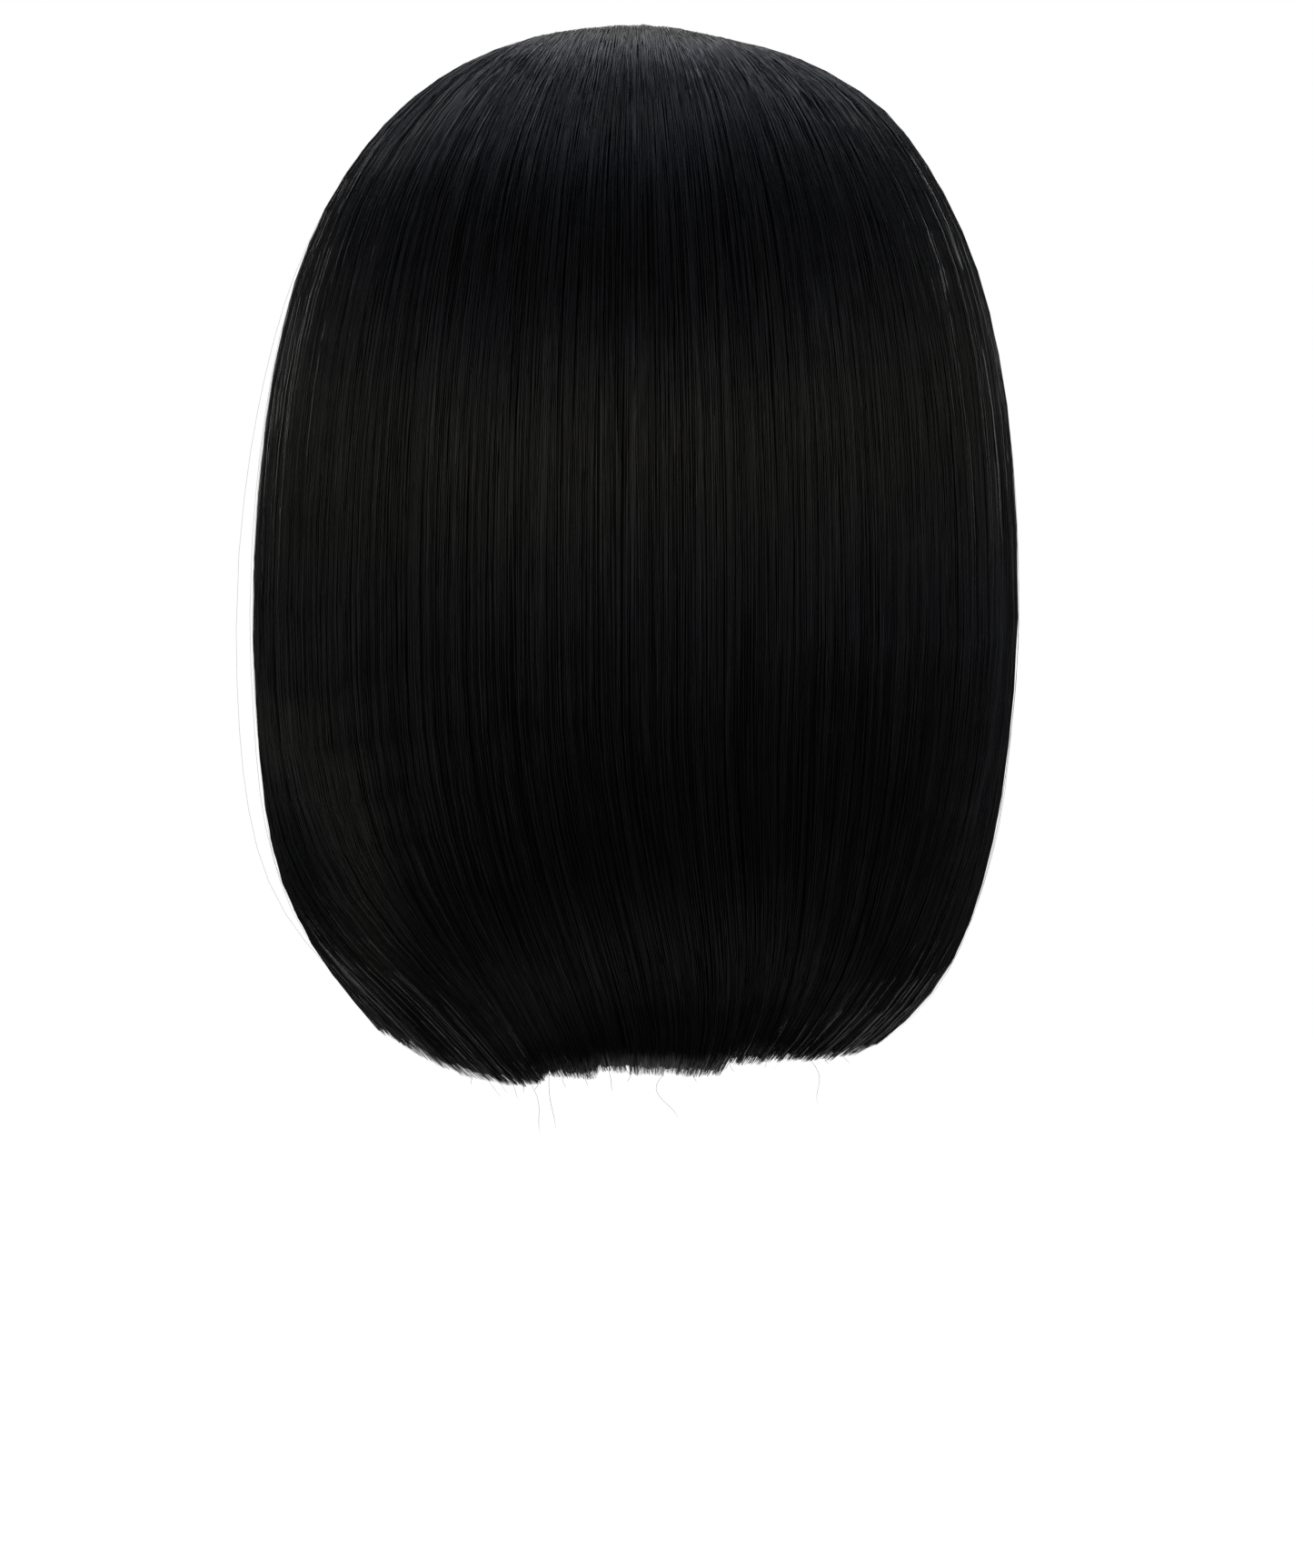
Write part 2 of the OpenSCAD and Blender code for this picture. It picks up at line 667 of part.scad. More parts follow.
crown_net();
parting_strip();
front_band();
nape_band();
crown_ribbon();
centre_ribbon();
inner_ribbon(1);  // left_inner_ribbon
inner_ribbon(-1);  // right_inner_ribbon
outer_ribbon(1);  // left_outer_ribbon
outer_ribbon(-1);  // right_outer_ribbon
ear_tab(1);  // left_ear_tab
ear_tab(-1);  // right_ear_tab
ear_stay(1);  // left_ear_stay
ear_stay(-1);  // right_ear_stay
ear_elastic(1);  // left_ear_elastic
ear_elastic(-1);  // right_ear_elastic
adjuster_strap(1);  // left_adjuster_strap
adjuster_strap(-1);  // right_adjuster_strap
adjuster_hook(1);  // left_adjuster_hook
adjuster_hook(-1);  // right_adjuster_hook
loop_tape(1);  // left_loop_tape
loop_tape(-1);  // right_loop_tape
loop_set(1);  // left_loops
loop_set(-1);  // right_loops
crown_track();
fringe_track();
for (k = [1 : weft_rows]) weft_track(k);
for (k = [1 : weft_rows]) weft_hair(k);
crown_hair(1);  // crown_hair_left
crown_hair(-1);  // crown_hair_right
back_hair();
left_side_hair();
right_side_hair();
fringe();
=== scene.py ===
"""Costume wig, a short black bob: the looks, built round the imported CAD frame.

Lengths named here are in millimetres, in the row frame, and become metres when a mesh is made.
Azimuth phi runs round the head in degrees: 0 the forehead, 90 the left ear, 180 the nape.
Theta runs down the outline: 0 the top, 90 the widest part, HEM_ANGLE the hem.
"""

import math

import bpy
import numpy as np
from mathutils import Matrix, Vector


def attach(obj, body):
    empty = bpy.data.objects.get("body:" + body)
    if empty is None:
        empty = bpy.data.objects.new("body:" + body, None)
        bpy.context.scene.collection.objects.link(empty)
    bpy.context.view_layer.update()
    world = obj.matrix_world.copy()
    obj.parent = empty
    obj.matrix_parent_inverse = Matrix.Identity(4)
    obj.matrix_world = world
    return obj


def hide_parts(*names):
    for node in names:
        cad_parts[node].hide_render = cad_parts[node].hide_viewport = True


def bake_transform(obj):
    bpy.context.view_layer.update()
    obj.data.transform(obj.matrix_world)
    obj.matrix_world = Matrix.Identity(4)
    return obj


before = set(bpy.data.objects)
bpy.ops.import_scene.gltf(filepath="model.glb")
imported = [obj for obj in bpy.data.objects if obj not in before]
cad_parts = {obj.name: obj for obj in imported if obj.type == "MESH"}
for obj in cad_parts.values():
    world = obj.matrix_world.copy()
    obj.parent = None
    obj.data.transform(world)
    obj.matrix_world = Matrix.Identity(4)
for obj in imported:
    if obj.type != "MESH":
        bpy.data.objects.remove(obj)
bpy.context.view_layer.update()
bpy.context.scene.view_settings.view_transform = "Standard"
MM = 0.001

# ---- Driving sizes, as in the CAD
HEAD_W, HEAD_L, CROWN_H, CAP_DROP = 152, 192, 98, 120
SIDE_VOLUME, FRONT_VOLUME, BACK_VOLUME, CROWN_VOLUME = 33, 17, 28, 14
UPPER_H, BOB_H, FULLNESS = 163, 297, 2.5
HEM_ANGLE, HEM_SLANT, LEFT_LIFT, RIGHT_LIFT = 151.5, 6, 12, 3
VEIL_T, HEM_T, VEIL_GAP = 8, 4.5, 1.6
PART_FRONT, PART_REAR, STRIP_W = -45, 25, 20
FRINGE_EDGE, BACK_EDGE = 40, 120
FRINGE_TOP, SIDE_TOP, BACK_TOP, FRINGE_HEM = 50, 25, 10, -10
WEFT_ROWS, BACK_ROWS, FIRST_ROW_Z, ROW_PITCH = 8, 4, -80, 18
BAND_T, CLOTH_GAP, NET_GAP, NET_T, TRACK_T = 0.8, 0.2, 1.0, 0.6, 2
FRONT_Z, EAR_Z, NAPE_Z = 48, 0, -88
CAP_ROUND = 2.2

# ---- Derived sizes
BAND_IN = BAND_T + CLOTH_GAP
BAND_OUT = BAND_IN + BAND_T
NET_IN = BAND_OUT + NET_GAP
TRACK_IN = NET_IN + NET_T + NET_GAP
HAIR_IN = TRACK_IN + TRACK_T + NET_GAP
HALF_W = HEAD_W / 2 + SIDE_VOLUME
FRONT_D = HEAD_L / 2 + FRONT_VOLUME
BACK_D = HEAD_L / 2 + BACK_VOLUME
TOP_Z = CROWN_H + CROWN_VOLUME
WIDE_Z = TOP_Z - UPPER_H
HEM_Z = TOP_Z - BOB_H
OUT_POWER = 2 / FULLNESS
LOWER_H = (BOB_H - UPPER_H) / (-math.cos(math.radians(HEM_ANGLE))) ** OUT_POWER
PART_MID = (PART_REAR + PART_FRONT) / 2
PART_HALF = (PART_REAR - PART_FRONT) / 2


# ---- Surfaces
def sin_d(a):
    return np.sin(np.radians(a))


def cos_d(a):
    return np.cos(np.radians(a))


def signed_pow(v, e):
    return np.sign(v) * np.abs(v) ** e


def ease(u):
    v = np.clip(u, 0, 1)
    return v * v * (3 - 2 * v)


def lerp(a, b, u):
    return a + (b - a) * u


def theta_at(z):
    """The angle down the outline at a height."""
    share = (z - WIDE_Z) / (UPPER_H if z > WIDE_Z else LOWER_H)
    return float(np.degrees(np.arccos(signed_pow(share, FULLNESS / 2))))


def hair_point(phi, theta, inset):
    """A point that far inside the outer hair, for arrays of one shape."""
    r = np.abs(sin_d(theta)) ** OUT_POWER
    high = np.where(theta < 90, UPPER_H, LOWER_H) - inset
    deep = np.where(cos_d(phi) > 0, FRONT_D, BACK_D) - inset
    shift = (PART_MID - PART_HALF * cos_d(phi)) * (1 - r) ** 2
    x = (HALF_W - inset) * r * sin_d(phi)
    y = shift - deep * r * cos_d(phi)
    z = WIDE_Z + high * signed_pow(cos_d(theta), OUT_POWER)
    return np.stack([x, y, z + 0 * x], -1)


def cap_share(z, off):
    """The cap's plan at a height, as a share of its widest."""
    high = np.where(z > 0, CROWN_H, CAP_DROP) + off
    return np.maximum(0, 1 - (np.abs(z) / high) ** CAP_ROUND) ** (1 / CAP_ROUND)


def cap_point(phi, z, off):
    """A point of the cap at a height, that far outside the head."""
    s = cap_share(z, off)
    x = (HEAD_W / 2 + off) * s * sin_d(phi)
    y = -(HEAD_L / 2 + off) * s * cos_d(phi)
    return np.stack([x, y, z + 0 * s], -1)


def cap_height(x, y, off):
    """The cap's height over a point of its plan."""
    rho = np.hypot(x / (HEAD_W / 2 + off), y / (HEAD_L / 2 + off))
    return (CROWN_H + off) * np.maximum(0, 1 - rho**CAP_ROUND) ** (1 / CAP_ROUND)


def cap_angle(z, off=0):
    """The angle from the cap's top at a height, and cap_z is its opposite."""
    high = np.where(z > 0, CROWN_H, CAP_DROP) + off
    return np.degrees(np.arccos(np.clip(signed_pow(z / high, CAP_ROUND / 2), -1, 1)))


def cap_z(angle, off):
    return np.where(angle < 90, CROWN_H + off, CAP_DROP + off) * signed_pow(cos_d(angle), 2 / CAP_ROUND)


# Places of the cap's lower edge: azimuth from the forehead, and height
EDGE = (
    (0, FRONT_Z), (30, FRONT_Z - 4), (52, lerp(FRONT_Z, EAR_Z, 0.55)), (66, EAR_Z),
    (112, EAR_Z), (130, lerp(EAR_Z, NAPE_Z, 0.55)), (148, NAPE_Z), (180, NAPE_Z),
)


def edge_z(phi):
    """The cap's lower edge by azimuth."""
    around = np.abs((np.asarray(phi, float) + 180) % 360 - 180)
    return np.interp(around, *zip(*EDGE))


# ---- Meshes
def make_mesh(name, points, faces):
    """An object from points in millimetres and a list of face arrays, each of one face size."""
    mesh = bpy.data.meshes.new(name)
    mesh.vertices.add(len(points))
    mesh.vertices.foreach_set("co", (np.asarray(points, np.float32) * MM).ravel())
    corners = np.concatenate([f.ravel() for f in faces]).astype(np.int32)
    sizes = np.concatenate([np.full(len(f), f.shape[1]) for f in faces])
    starts = np.concatenate([[0], np.cumsum(sizes)[:-1]]).astype(np.int32)
    mesh.loops.add(len(corners))
    mesh.loops.foreach_set("vertex_index", corners)
    mesh.polygons.add(len(sizes))
    mesh.polygons.foreach_set("loop_start", starts)
    mesh.polygons.foreach_set("use_smooth", np.ones(len(sizes), bool))
    mesh.update(calc_edges=True)
    mesh.validate()
    obj = bpy.data.objects.new(name, mesh)
    bpy.context.scene.collection.objects.link(obj)
    return obj


def unit(v):
    return v / np.maximum(np.linalg.norm(v, axis=-1, keepdims=True), 1e-9)


SIDES, FLATNESS = 3, 0.7
BODY_CENTRE = np.array([0, 0, WIDE_Z])


def tubes(name, paths, widths, rolls, tones, centre=BODY_CENTRE, taper_from=0.9, close=False):
    """Flattened three-sided tubes along paths (fibre, step, xyz), thinned towards their tips."""
    count, steps = paths.shape[:2]
    along = unit(np.gradient(paths, axis=1))
    out = unit(paths - centre)
    side = unit(np.cross(along, out))
    up = np.cross(side, along)
    u = np.linspace(0, 1, steps)
    thin = np.where(u > taper_from, 1 - 0.75 * (u - taper_from) / max(1e-6, 1 - taper_from), 1.0)
    half = widths[:, None] / 2 * (np.ones(steps) if close else thin)[None, :]
    rings = []
    for k in range(SIDES):
        a = rolls[:, None, None] + 2 * math.pi * k / SIDES
        rings.append(paths + half[..., None] * (np.cos(a) * side + FLATNESS * np.sin(a) * up))
    points = np.stack(rings, 2).reshape(-1, 3)
    index = np.arange(count * steps * SIDES).reshape(count, steps, SIDES)
    after = np.roll(index, -1, axis=2)
    corners = (index[:, :-1], after[:, :-1], after[:, 1:], index[:, 1:])
    quads = np.stack(corners, -1).reshape(-1, 4)
    faces = [quads]
    if not close:
        faces.append(np.concatenate([index[:, 0, ::-1], index[:, -1]]))
    obj = make_mesh(name, points, faces)
    tone = obj.data.attributes.new("tone", "FLOAT", "POINT")
    tone.data.foreach_set("value", np.repeat(tones, steps * SIDES).astype(np.float32))
    bake_map(obj, count, steps, len(faces) > 1)
    return obj


def bake_map(obj, count, steps, capped):
    """Lays the fibres side by side in rows, so that each has its own strip of the map."""
    rows = max(1, int(math.sqrt(count / 20)))
    columns = math.ceil(count / rows)
    fibre = np.arange(count)
    left = (fibre % columns)[:, None, None, None]
    low = (fibre // columns)[:, None, None, None]
    k = np.arange(SIDES)[None, None, :, None]
    i = np.arange(steps - 1)[None, :, None, None]
    across = (left + 0.1 + 0.8 * (k + np.array([0, 1, 1, 0])) / SIDES) / columns
    down = (low + 0.05 + 0.9 * (i + np.array([0, 0, 1, 1])) / (steps - 1)) / rows
    quads = np.stack(np.broadcast_arrays(across, down), -1).reshape(-1, 2)
    parts = [quads]
    if capped:
        for end in (0.03, 0.97):
            corner = np.stack([(fibre % columns + 0.5) / columns, (fibre // columns + end) / rows], -1)
            spread = np.array([[0, 0], [0.2, 0], [0.1, 0.02]]) / [columns, rows]
            parts.append((corner[:, None, :] + spread).reshape(-1, 2))
    layer = obj.data.uv_layers.new(name="OFBake")
    layer.uv.foreach_set("vector", np.concatenate(parts).astype(np.float32).ravel())


def thick_sheet(name, outer, inner):
    """A closed solid between two grids (column, row, xyz) of one shape, the first outside."""
    m, n = outer.shape[:2]
    points = np.concatenate([outer.reshape(-1, 3), inner.reshape(-1, 3)])
    index = np.arange(m * n).reshape(m, n)
    a, b, c, d = index[:-1, :-1], index[1:, :-1], index[1:, 1:], index[:-1, 1:]
    front = np.stack([a, d, c, b], -1).reshape(-1, 4)
    back = np.stack([a, b, c, d], -1).reshape(-1, 4) + m * n
    rim = []
    for line, flip in ((index[:, 0], False), (index[:, -1], True), (index[0], True), (index[-1], False)):
        p, q = line[:-1], line[1:]
        strip = np.stack([p, q, q + m * n, p + m * n], -1)
        rim.append(strip[:, ::-1] if flip else strip)
    return make_mesh(name, points, [np.concatenate([front, back, *rim])])


# ---- Materials
def new_material(name):
    mat = bpy.data.materials.new(name)
    mat.use_nodes = True
    tree = mat.node_tree
    return mat, tree, tree.nodes["Principled BSDF"]


def link(tree, a, out, b, into):
    tree.links.new(a.outputs[out], b.inputs[into])


def node(tree, kind, **values):
    n = tree.nodes.new(kind)
    for key, value in values.items():
        if key in n.inputs:
            n.inputs[key].default_value = value
        else:
            setattr(n, key, value)
    return n


def stretched(tree, scale):
    """Object coordinates scaled unevenly, so that a texture runs in streaks."""
    coords = tree.nodes.new("ShaderNodeTexCoord")
    mapping = tree.nodes.new("ShaderNodeMapping")
    mapping.inputs["Scale"].default_value = scale
    link(tree, coords, "Object", mapping, "Vector")
    return mapping


def ramp(tree, source, out, stops):
    """A colour ramp fed by a value. stops are (place, colour)."""
    n = tree.nodes.new("ShaderNodeValToRGB")
    elements = n.color_ramp.elements
    while len(elements) < len(stops):
        elements.new(0.5)
    for element, (place, colour) in zip(elements, stops):
        element.position = place
        element.color = (*colour, 1)
    link(tree, source, out, n, "Fac")
    return n


HAIR_DARK = (0.0015, 0.0015, 0.0018)
HAIR_LIGHT = (0.0085, 0.008, 0.009)


def hair_material(name, roughness=0.27, specular=0.5):
    """Straight glossy synthetic fibre: each strand has its own tone, with streaks along it."""
    mat, tree, shader = new_material(name)
    shader.inputs["Specular IOR Level"].default_value = specular
    tone = node(tree, "ShaderNodeAttribute", attribute_name="tone")
    streaks = node(tree, "ShaderNodeTexNoise", Scale=1.0, Detail=4.0)
    link(tree, stretched(tree, (900, 900, 45)), "Vector", streaks, "Vector")
    both = node(tree, "ShaderNodeMath", operation="MULTIPLY_ADD")
    both.inputs[1].default_value = 0.6
    link(tree, tone, "Fac", both, 0)
    half = node(tree, "ShaderNodeMath", operation="MULTIPLY")
    half.inputs[1].default_value = 0.4
    link(tree, streaks, "Fac", half, 0)
    link(tree, half, "Value", both, 2)
    colours = ramp(tree, both, "Value", [(0.15, HAIR_DARK), (0.85, HAIR_LIGHT)])
    link(tree, colours, "Color", shader, "Base Color")
    gloss = node(tree, "ShaderNodeMapRange")
    gloss.inputs["To Min"].default_value = roughness - 0.09
    gloss.inputs["To Max"].default_value = roughness + 0.13
    link(tree, both, "Value", gloss, "Value")
    link(tree, gloss, "Result", shader, "Roughness")
    return mat


def mass_material(name):
    """The hair mass behind the outermost strands: the same fibre with ridges in place of single strands."""
    mat, tree, shader = new_material(name)
    shader.inputs["Specular IOR Level"].default_value = 0.35
    fine = node(tree, "ShaderNodeTexNoise", Scale=1.0, Detail=3.0)
    link(tree, stretched(tree, (1500, 1500, 18)), "Vector", fine, "Vector")
    colours = ramp(tree, fine, "Fac", [(0.3, HAIR_DARK), (0.8, HAIR_LIGHT)])
    link(tree, colours, "Color", shader, "Base Color")
    bump = node(tree, "ShaderNodeBump", Strength=0.6, Distance=0.0004)
    link(tree, fine, "Fac", bump, "Height")
    link(tree, bump, "Normal", shader, "Normal")
    rough = node(tree, "ShaderNodeMapRange")
    rough.inputs["To Min"].default_value = 0.42
    rough.inputs["To Max"].default_value = 0.55
    link(tree, fine, "Fac", rough, "Value")
    link(tree, rough, "Result", shader, "Roughness")
    return mat


# The length of Blender's wave at scale 1
UNIT_WAVE = 2 * math.pi / 20


def cloth_material(name, dark, light, thread, roughness=0.75, sheen=0.2):
    """Woven cloth: two crossed sets of threads of that width in millimetres, two threads to a wave."""
    mat, tree, shader = new_material(name)
    shader.inputs["Sheen Weight"].default_value = sheen
    coords = stretched(tree, (1, 1, 1))
    heights = []
    for direction in ("Z", "DIAGONAL"):
        wave = node(tree, "ShaderNodeTexWave", bands_direction=direction)
        wave.inputs["Scale"].default_value = UNIT_WAVE / (2 * thread * MM)
        wave.inputs["Distortion"].default_value = 0.4
        link(tree, coords, "Vector", wave, "Vector")
        heights.append(wave)
    weave = node(tree, "ShaderNodeMath", operation="MULTIPLY")
    link(tree, heights[0], "Fac", weave, 0)
    link(tree, heights[1], "Fac", weave, 1)
    worn = node(tree, "ShaderNodeTexNoise", Scale=60.0, Detail=5.0)
    mixed = node(tree, "ShaderNodeMath", operation="MULTIPLY_ADD")
    mixed.inputs[1].default_value = 0.5
    link(tree, weave, "Value", mixed, 0)
    part = node(tree, "ShaderNodeMath", operation="MULTIPLY")
    part.inputs[1].default_value = 0.5
    link(tree, worn, "Fac", part, 0)
    link(tree, part, "Value", mixed, 2)
    colours = ramp(tree, mixed, "Value", [(0.1, dark), (0.75, light)])
    link(tree, colours, "Color", shader, "Base Color")
    bump = node(tree, "ShaderNodeBump", Strength=0.5, Distance=0.0003)
    link(tree, weave, "Value", bump, "Height")
    link(tree, bump, "Normal", shader, "Normal")
    rough = node(tree, "ShaderNodeMapRange")
    rough.inputs["To Min"].default_value = roughness + 0.1
    rough.inputs["To Max"].default_value = roughness - 0.1
    link(tree, weave, "Value", rough, "Value")
    link(tree, rough, "Result", shader, "Roughness")
    return mat


def metal_material(name):
    """Black lacquered steel, worn bright in places."""
    mat, tree, shader = new_material(name)
    shader.inputs["Metallic"].default_value = 0.85
    wear = node(tree, "ShaderNodeTexNoise", Scale=420.0, Detail=6.0)
    colours = ramp(tree, wear, "Fac", [(0.35, (0.045, 0.045, 0.05)), (0.7, (0.35, 0.35, 0.36))])
    link(tree, colours, "Color", shader, "Base Color")
    rough = node(tree, "ShaderNodeMapRange")
    rough.inputs["To Min"].default_value = 0.22
    rough.inputs["To Max"].default_value = 0.45
    link(tree, wear, "Fac", rough, "Value")
    link(tree, rough, "Result", shader, "Roughness")
    return mat


def plastic_material(name):
    """Milky moulded plastic of the ear stays."""
    mat, tree, shader = new_material(name)
    cloud = node(tree, "ShaderNodeTexNoise", Scale=150.0, Detail=4.0)
    colours = ramp(tree, cloud, "Fac", [(0.3, (0.55, 0.55, 0.54)), (0.7, (0.68, 0.68, 0.67))])
    link(tree, colours, "Color", shader, "Base Color")
    rough = node(tree, "ShaderNodeMapRange")
    rough.inputs["To Min"].default_value = 0.35
    rough.inputs["To Max"].default_value = 0.5
    link(tree, cloud, "Fac", rough, "Value")
    link(tree, rough, "Result", shader, "Roughness")
    return mat


FIBRE = hair_material("black_fibre")
MASS = mass_material("hair_mass")
NET = cloth_material("net_thread", (0.012, 0.012, 0.013), (0.06, 0.06, 0.064), 0.3)
RIBBON = cloth_material("woven_ribbon", (0.018, 0.018, 0.02), (0.085, 0.085, 0.092), 0.5)
ELASTIC = cloth_material("ribbed_elastic", (0.02, 0.02, 0.021), (0.10, 0.10, 0.108), 0.9)
TRACK = cloth_material("stitched_track", (0.01, 0.01, 0.011), (0.05, 0.05, 0.053), 0.7)
SKIN = cloth_material("parting_skin", (0.42, 0.27, 0.19), (0.62, 0.43, 0.32), 0.35, roughness=0.6)
HOOK = metal_material("lacquered_steel")
STAY = plastic_material("stay_plastic")


def wear_material(obj, mat):
    obj.data.materials.clear()
    obj.data.materials.append(mat)


# ---- Outer hair
random = np.random.default_rng(20261119)
LOCK_DEG = 3.0
LOCKS = int(360 / LOCK_DEG)
lock_depth = random.uniform(0, 0.5, LOCKS)
lock_tip = random.normal(0, 0.1, LOCKS)
lock_centre = random.uniform(-0.8, 0.8, LOCKS)
lock_wave = random.uniform(0, 1, (LOCKS, 2))
# Cut ends that hang lower in steps: azimuth of a step's abrupt edge, its extra angle, its width, and the
# share of the width over which the edge is rounded
HEM_STEPS = [
    (156, 3.4, 46, 0.16), (170, 2.2, 16, 0.08), (204, 3.2, 34, 0.02),
    (252, 1.6, 30, 0.1), (310, 0.8, 24, 0.1), (60, 0.8, 20, 0.1),
]
NAPE_TRIM = 1.5
DRIFT_FROM = 97


def drift(phi):
    """How far round the head the ends are swept: most at the left of the nape."""
    left = 29 * np.exp(-(((phi - 108) / 36) ** 2))
    middle = 10 * np.exp(-(((phi - 180) / 28) ** 2))
    right = 9 * np.exp(-(((phi - 246) / 24) ** 2))
    return left + middle - right


def hem_theta(phi):
    """The angle at which the hair is cut, by the azimuth of its tip, with the stepped locks of the hem."""
    lift = np.where(sin_d(phi) > 0, LEFT_LIFT, RIGHT_LIFT)
    theta = HEM_ANGLE + HEM_SLANT * sin_d(phi) / 2 - lift * sin_d(phi) ** 6
    theta = theta - NAPE_TRIM * np.maximum(0, -cos_d(phi))
    for edge, extra, width, rounded in HEM_STEPS:
        behind = np.clip((edge - phi) / width, 0, 1)
        theta = theta + extra * np.minimum(1, behind / rounded) ** 0.7 * (1 - behind) ** 0.6
    return theta


def bump(value, middle, width):
    return np.exp(-(((value - middle) / width) ** 2))


def evening(phi, theta):
    """How far the hair lies inside the even bob: flat on top, sunk at the parting, uneven at its sides."""
    out = np.abs(sin_d(theta)) ** OUT_POWER * HALF_W
    left = np.clip(sin_d(phi) * 1.5, 0, 1)
    right = np.clip(-sin_d(phi) * 1.5, 0, 1)
    crown = 1.7 * bump(out, 0, 5) + 1.9 * bump(out, 0, 16) + 1.3 * bump(out, 0, 48)
    left_side = 1.0 * bump(theta, 36, 16) + 0.9 * bump(theta, 70, 16) + 0.5 * bump(theta, 136, 6)
    right_side = 1.2 * bump(out, 34, 12) + 0.4 * bump(theta, 102, 6)
    left_fuller = 2.2 * bump(theta, 117, 13) + 1.2 * bump(theta, 152, 7)
    right_fuller = 1.1 * bump(theta, 36, 9) + 0.6 * bump(theta, 55, 14) + 2.1 * bump(theta, 131, 13)
    fuller = left * left_fuller + right * right_fuller + 0.5 * bump(theta, 91, 5)
    return crown + left * left_side + right * right_side - fuller


def waves(count, s, fewest, most):
    """One sine wave along each fibre, of its own length and start."""
    turns = random.uniform(fewest, most, (count, 1)) * s + random.uniform(0, 1, (count, 1))
    return np.sin(2 * math.pi * turns)


def strand_paths(phi0, depth, steps, stray=0.0, tip_theta=None):
    """Paths of outer strands that leave the parting at their azimuth and lie on the bob's surface."""
    count = len(phi0)
    lock = (np.floor(phi0 / LOCK_DEG).astype(int)) % LOCKS
    centre = (np.floor(phi0 / LOCK_DEG) + 0.5) * LOCK_DEG + lock_centre[lock]
    tip_phi = phi0 + drift(phi0 % 360)
    if tip_theta is None:
        tip_theta = hem_theta(tip_phi % 360) + lock_tip[lock]
        tip_theta = tip_theta - np.abs(random.normal(0, 0.4, count))
    start = random.uniform(0.4, 2.2, count)
    s = np.linspace(0, 1, steps)[None, :]
    theta = start[:, None] + (tip_theta - start)[:, None] * s**1.12
    sweep = ease((theta - DRIFT_FROM) / (HEM_ANGLE - DRIFT_FROM))
    gather = 0.06 * ease((theta - 118) / 32)
    phi = phi0[:, None] + (centre - phi0)[:, None] * gather + drift(phi0 % 360)[:, None] * sweep
    r = np.abs(sin_d(theta)) ** OUT_POWER
    local = np.maximum(12, HALF_W * r)
    common = 0.35 * np.sin(2 * math.pi * (1.3 * s + lock_wave[lock, 0][:, None]))
    amount = 0.15 + 0.6 * random.uniform(0, 1, (count, 1)) ** 2 + stray
    own = amount * waves(count, s, 0.8, 4)
    phi = phi + np.degrees((common + own) * ease(s * 4) / local)
    bob = random.uniform(0.02, 0.2, (count, 1)) * waves(count, s, 4, 8)
    lift = 0.12 * np.sin(2 * math.pi * (2 * s + lock_wave[lock, 1][:, None])) + bob
    perk = np.abs(random.normal(0, 0.35, (count, 1))) * bump(r * HALF_W, 9, 12)
    shallow = lerp(0.35, 1, ease(theta / 30))
    fuller = ease((theta - 60) / 70)
    inset = (depth[:, None] + lock_depth[lock][:, None] * lerp(0.4, 1.6, fuller)) * shallow + lift - perk
    return hair_point(phi, theta, inset + evening(phi, theta))


# Widths of the fibres, and how deep the layer of outer strands is
FIBRE_W, STRAND_LAYER = (0.26, 0.44), 2.6


def fibre_looks(count):
    """A width, a roll and a tone for each fibre."""
    return random.uniform(*FIBRE_W, count), random.uniform(0, 2 * math.pi, count), random.uniform(0, 1, count)


def fibres(name, phi_from, phi_to, count, steps, deepest=STRAND_LAYER, **options):
    """A set of outer strands spread evenly between two azimuths."""
    phi0 = np.sort(random.uniform(phi_from, phi_to, count))
    depth = deepest * random.uniform(0, 1, count) ** 1.4
    paths = strand_paths(phi0, depth, steps, **options)
    obj = tubes(name, paths, *fibre_looks(count))
    wear_material(obj, FIBRE)
    return obj


# The crown's own hair: half width of its roots, how much it widens, where it ends as a share of the plan, its
# fibres and steps on each side, and where its foremost roots stand
CROWN_SPREAD, CROWN_WIDEN, CROWN_END_R = 27, 1.7, 0.9
CROWN_STRANDS, CROWN_STEPS, CROWN_FRONT = 640, 44, -8
PLAN_ROUNDS = 24


def over_plan(x, y, inset):
    """The outer hair over a point of its plan, found by closing in on how far the parting shifts it."""
    shift = 0 * x
    for _ in range(PLAN_ROUNDS):
        back = (shift - y) / np.where(y > shift, BACK_D, FRONT_D)
        r = np.hypot(x / HALF_W, back)
        phi = np.degrees(np.arctan2(x / HALF_W, back))
        shift = (PART_MID - PART_HALF * cos_d(phi)) * (1 - r) ** 2
    theta = np.degrees(np.arcsin(np.clip(r ** (1 / OUT_POWER), 0, 1)))
    return hair_point(phi, theta, inset + evening(phi, theta))


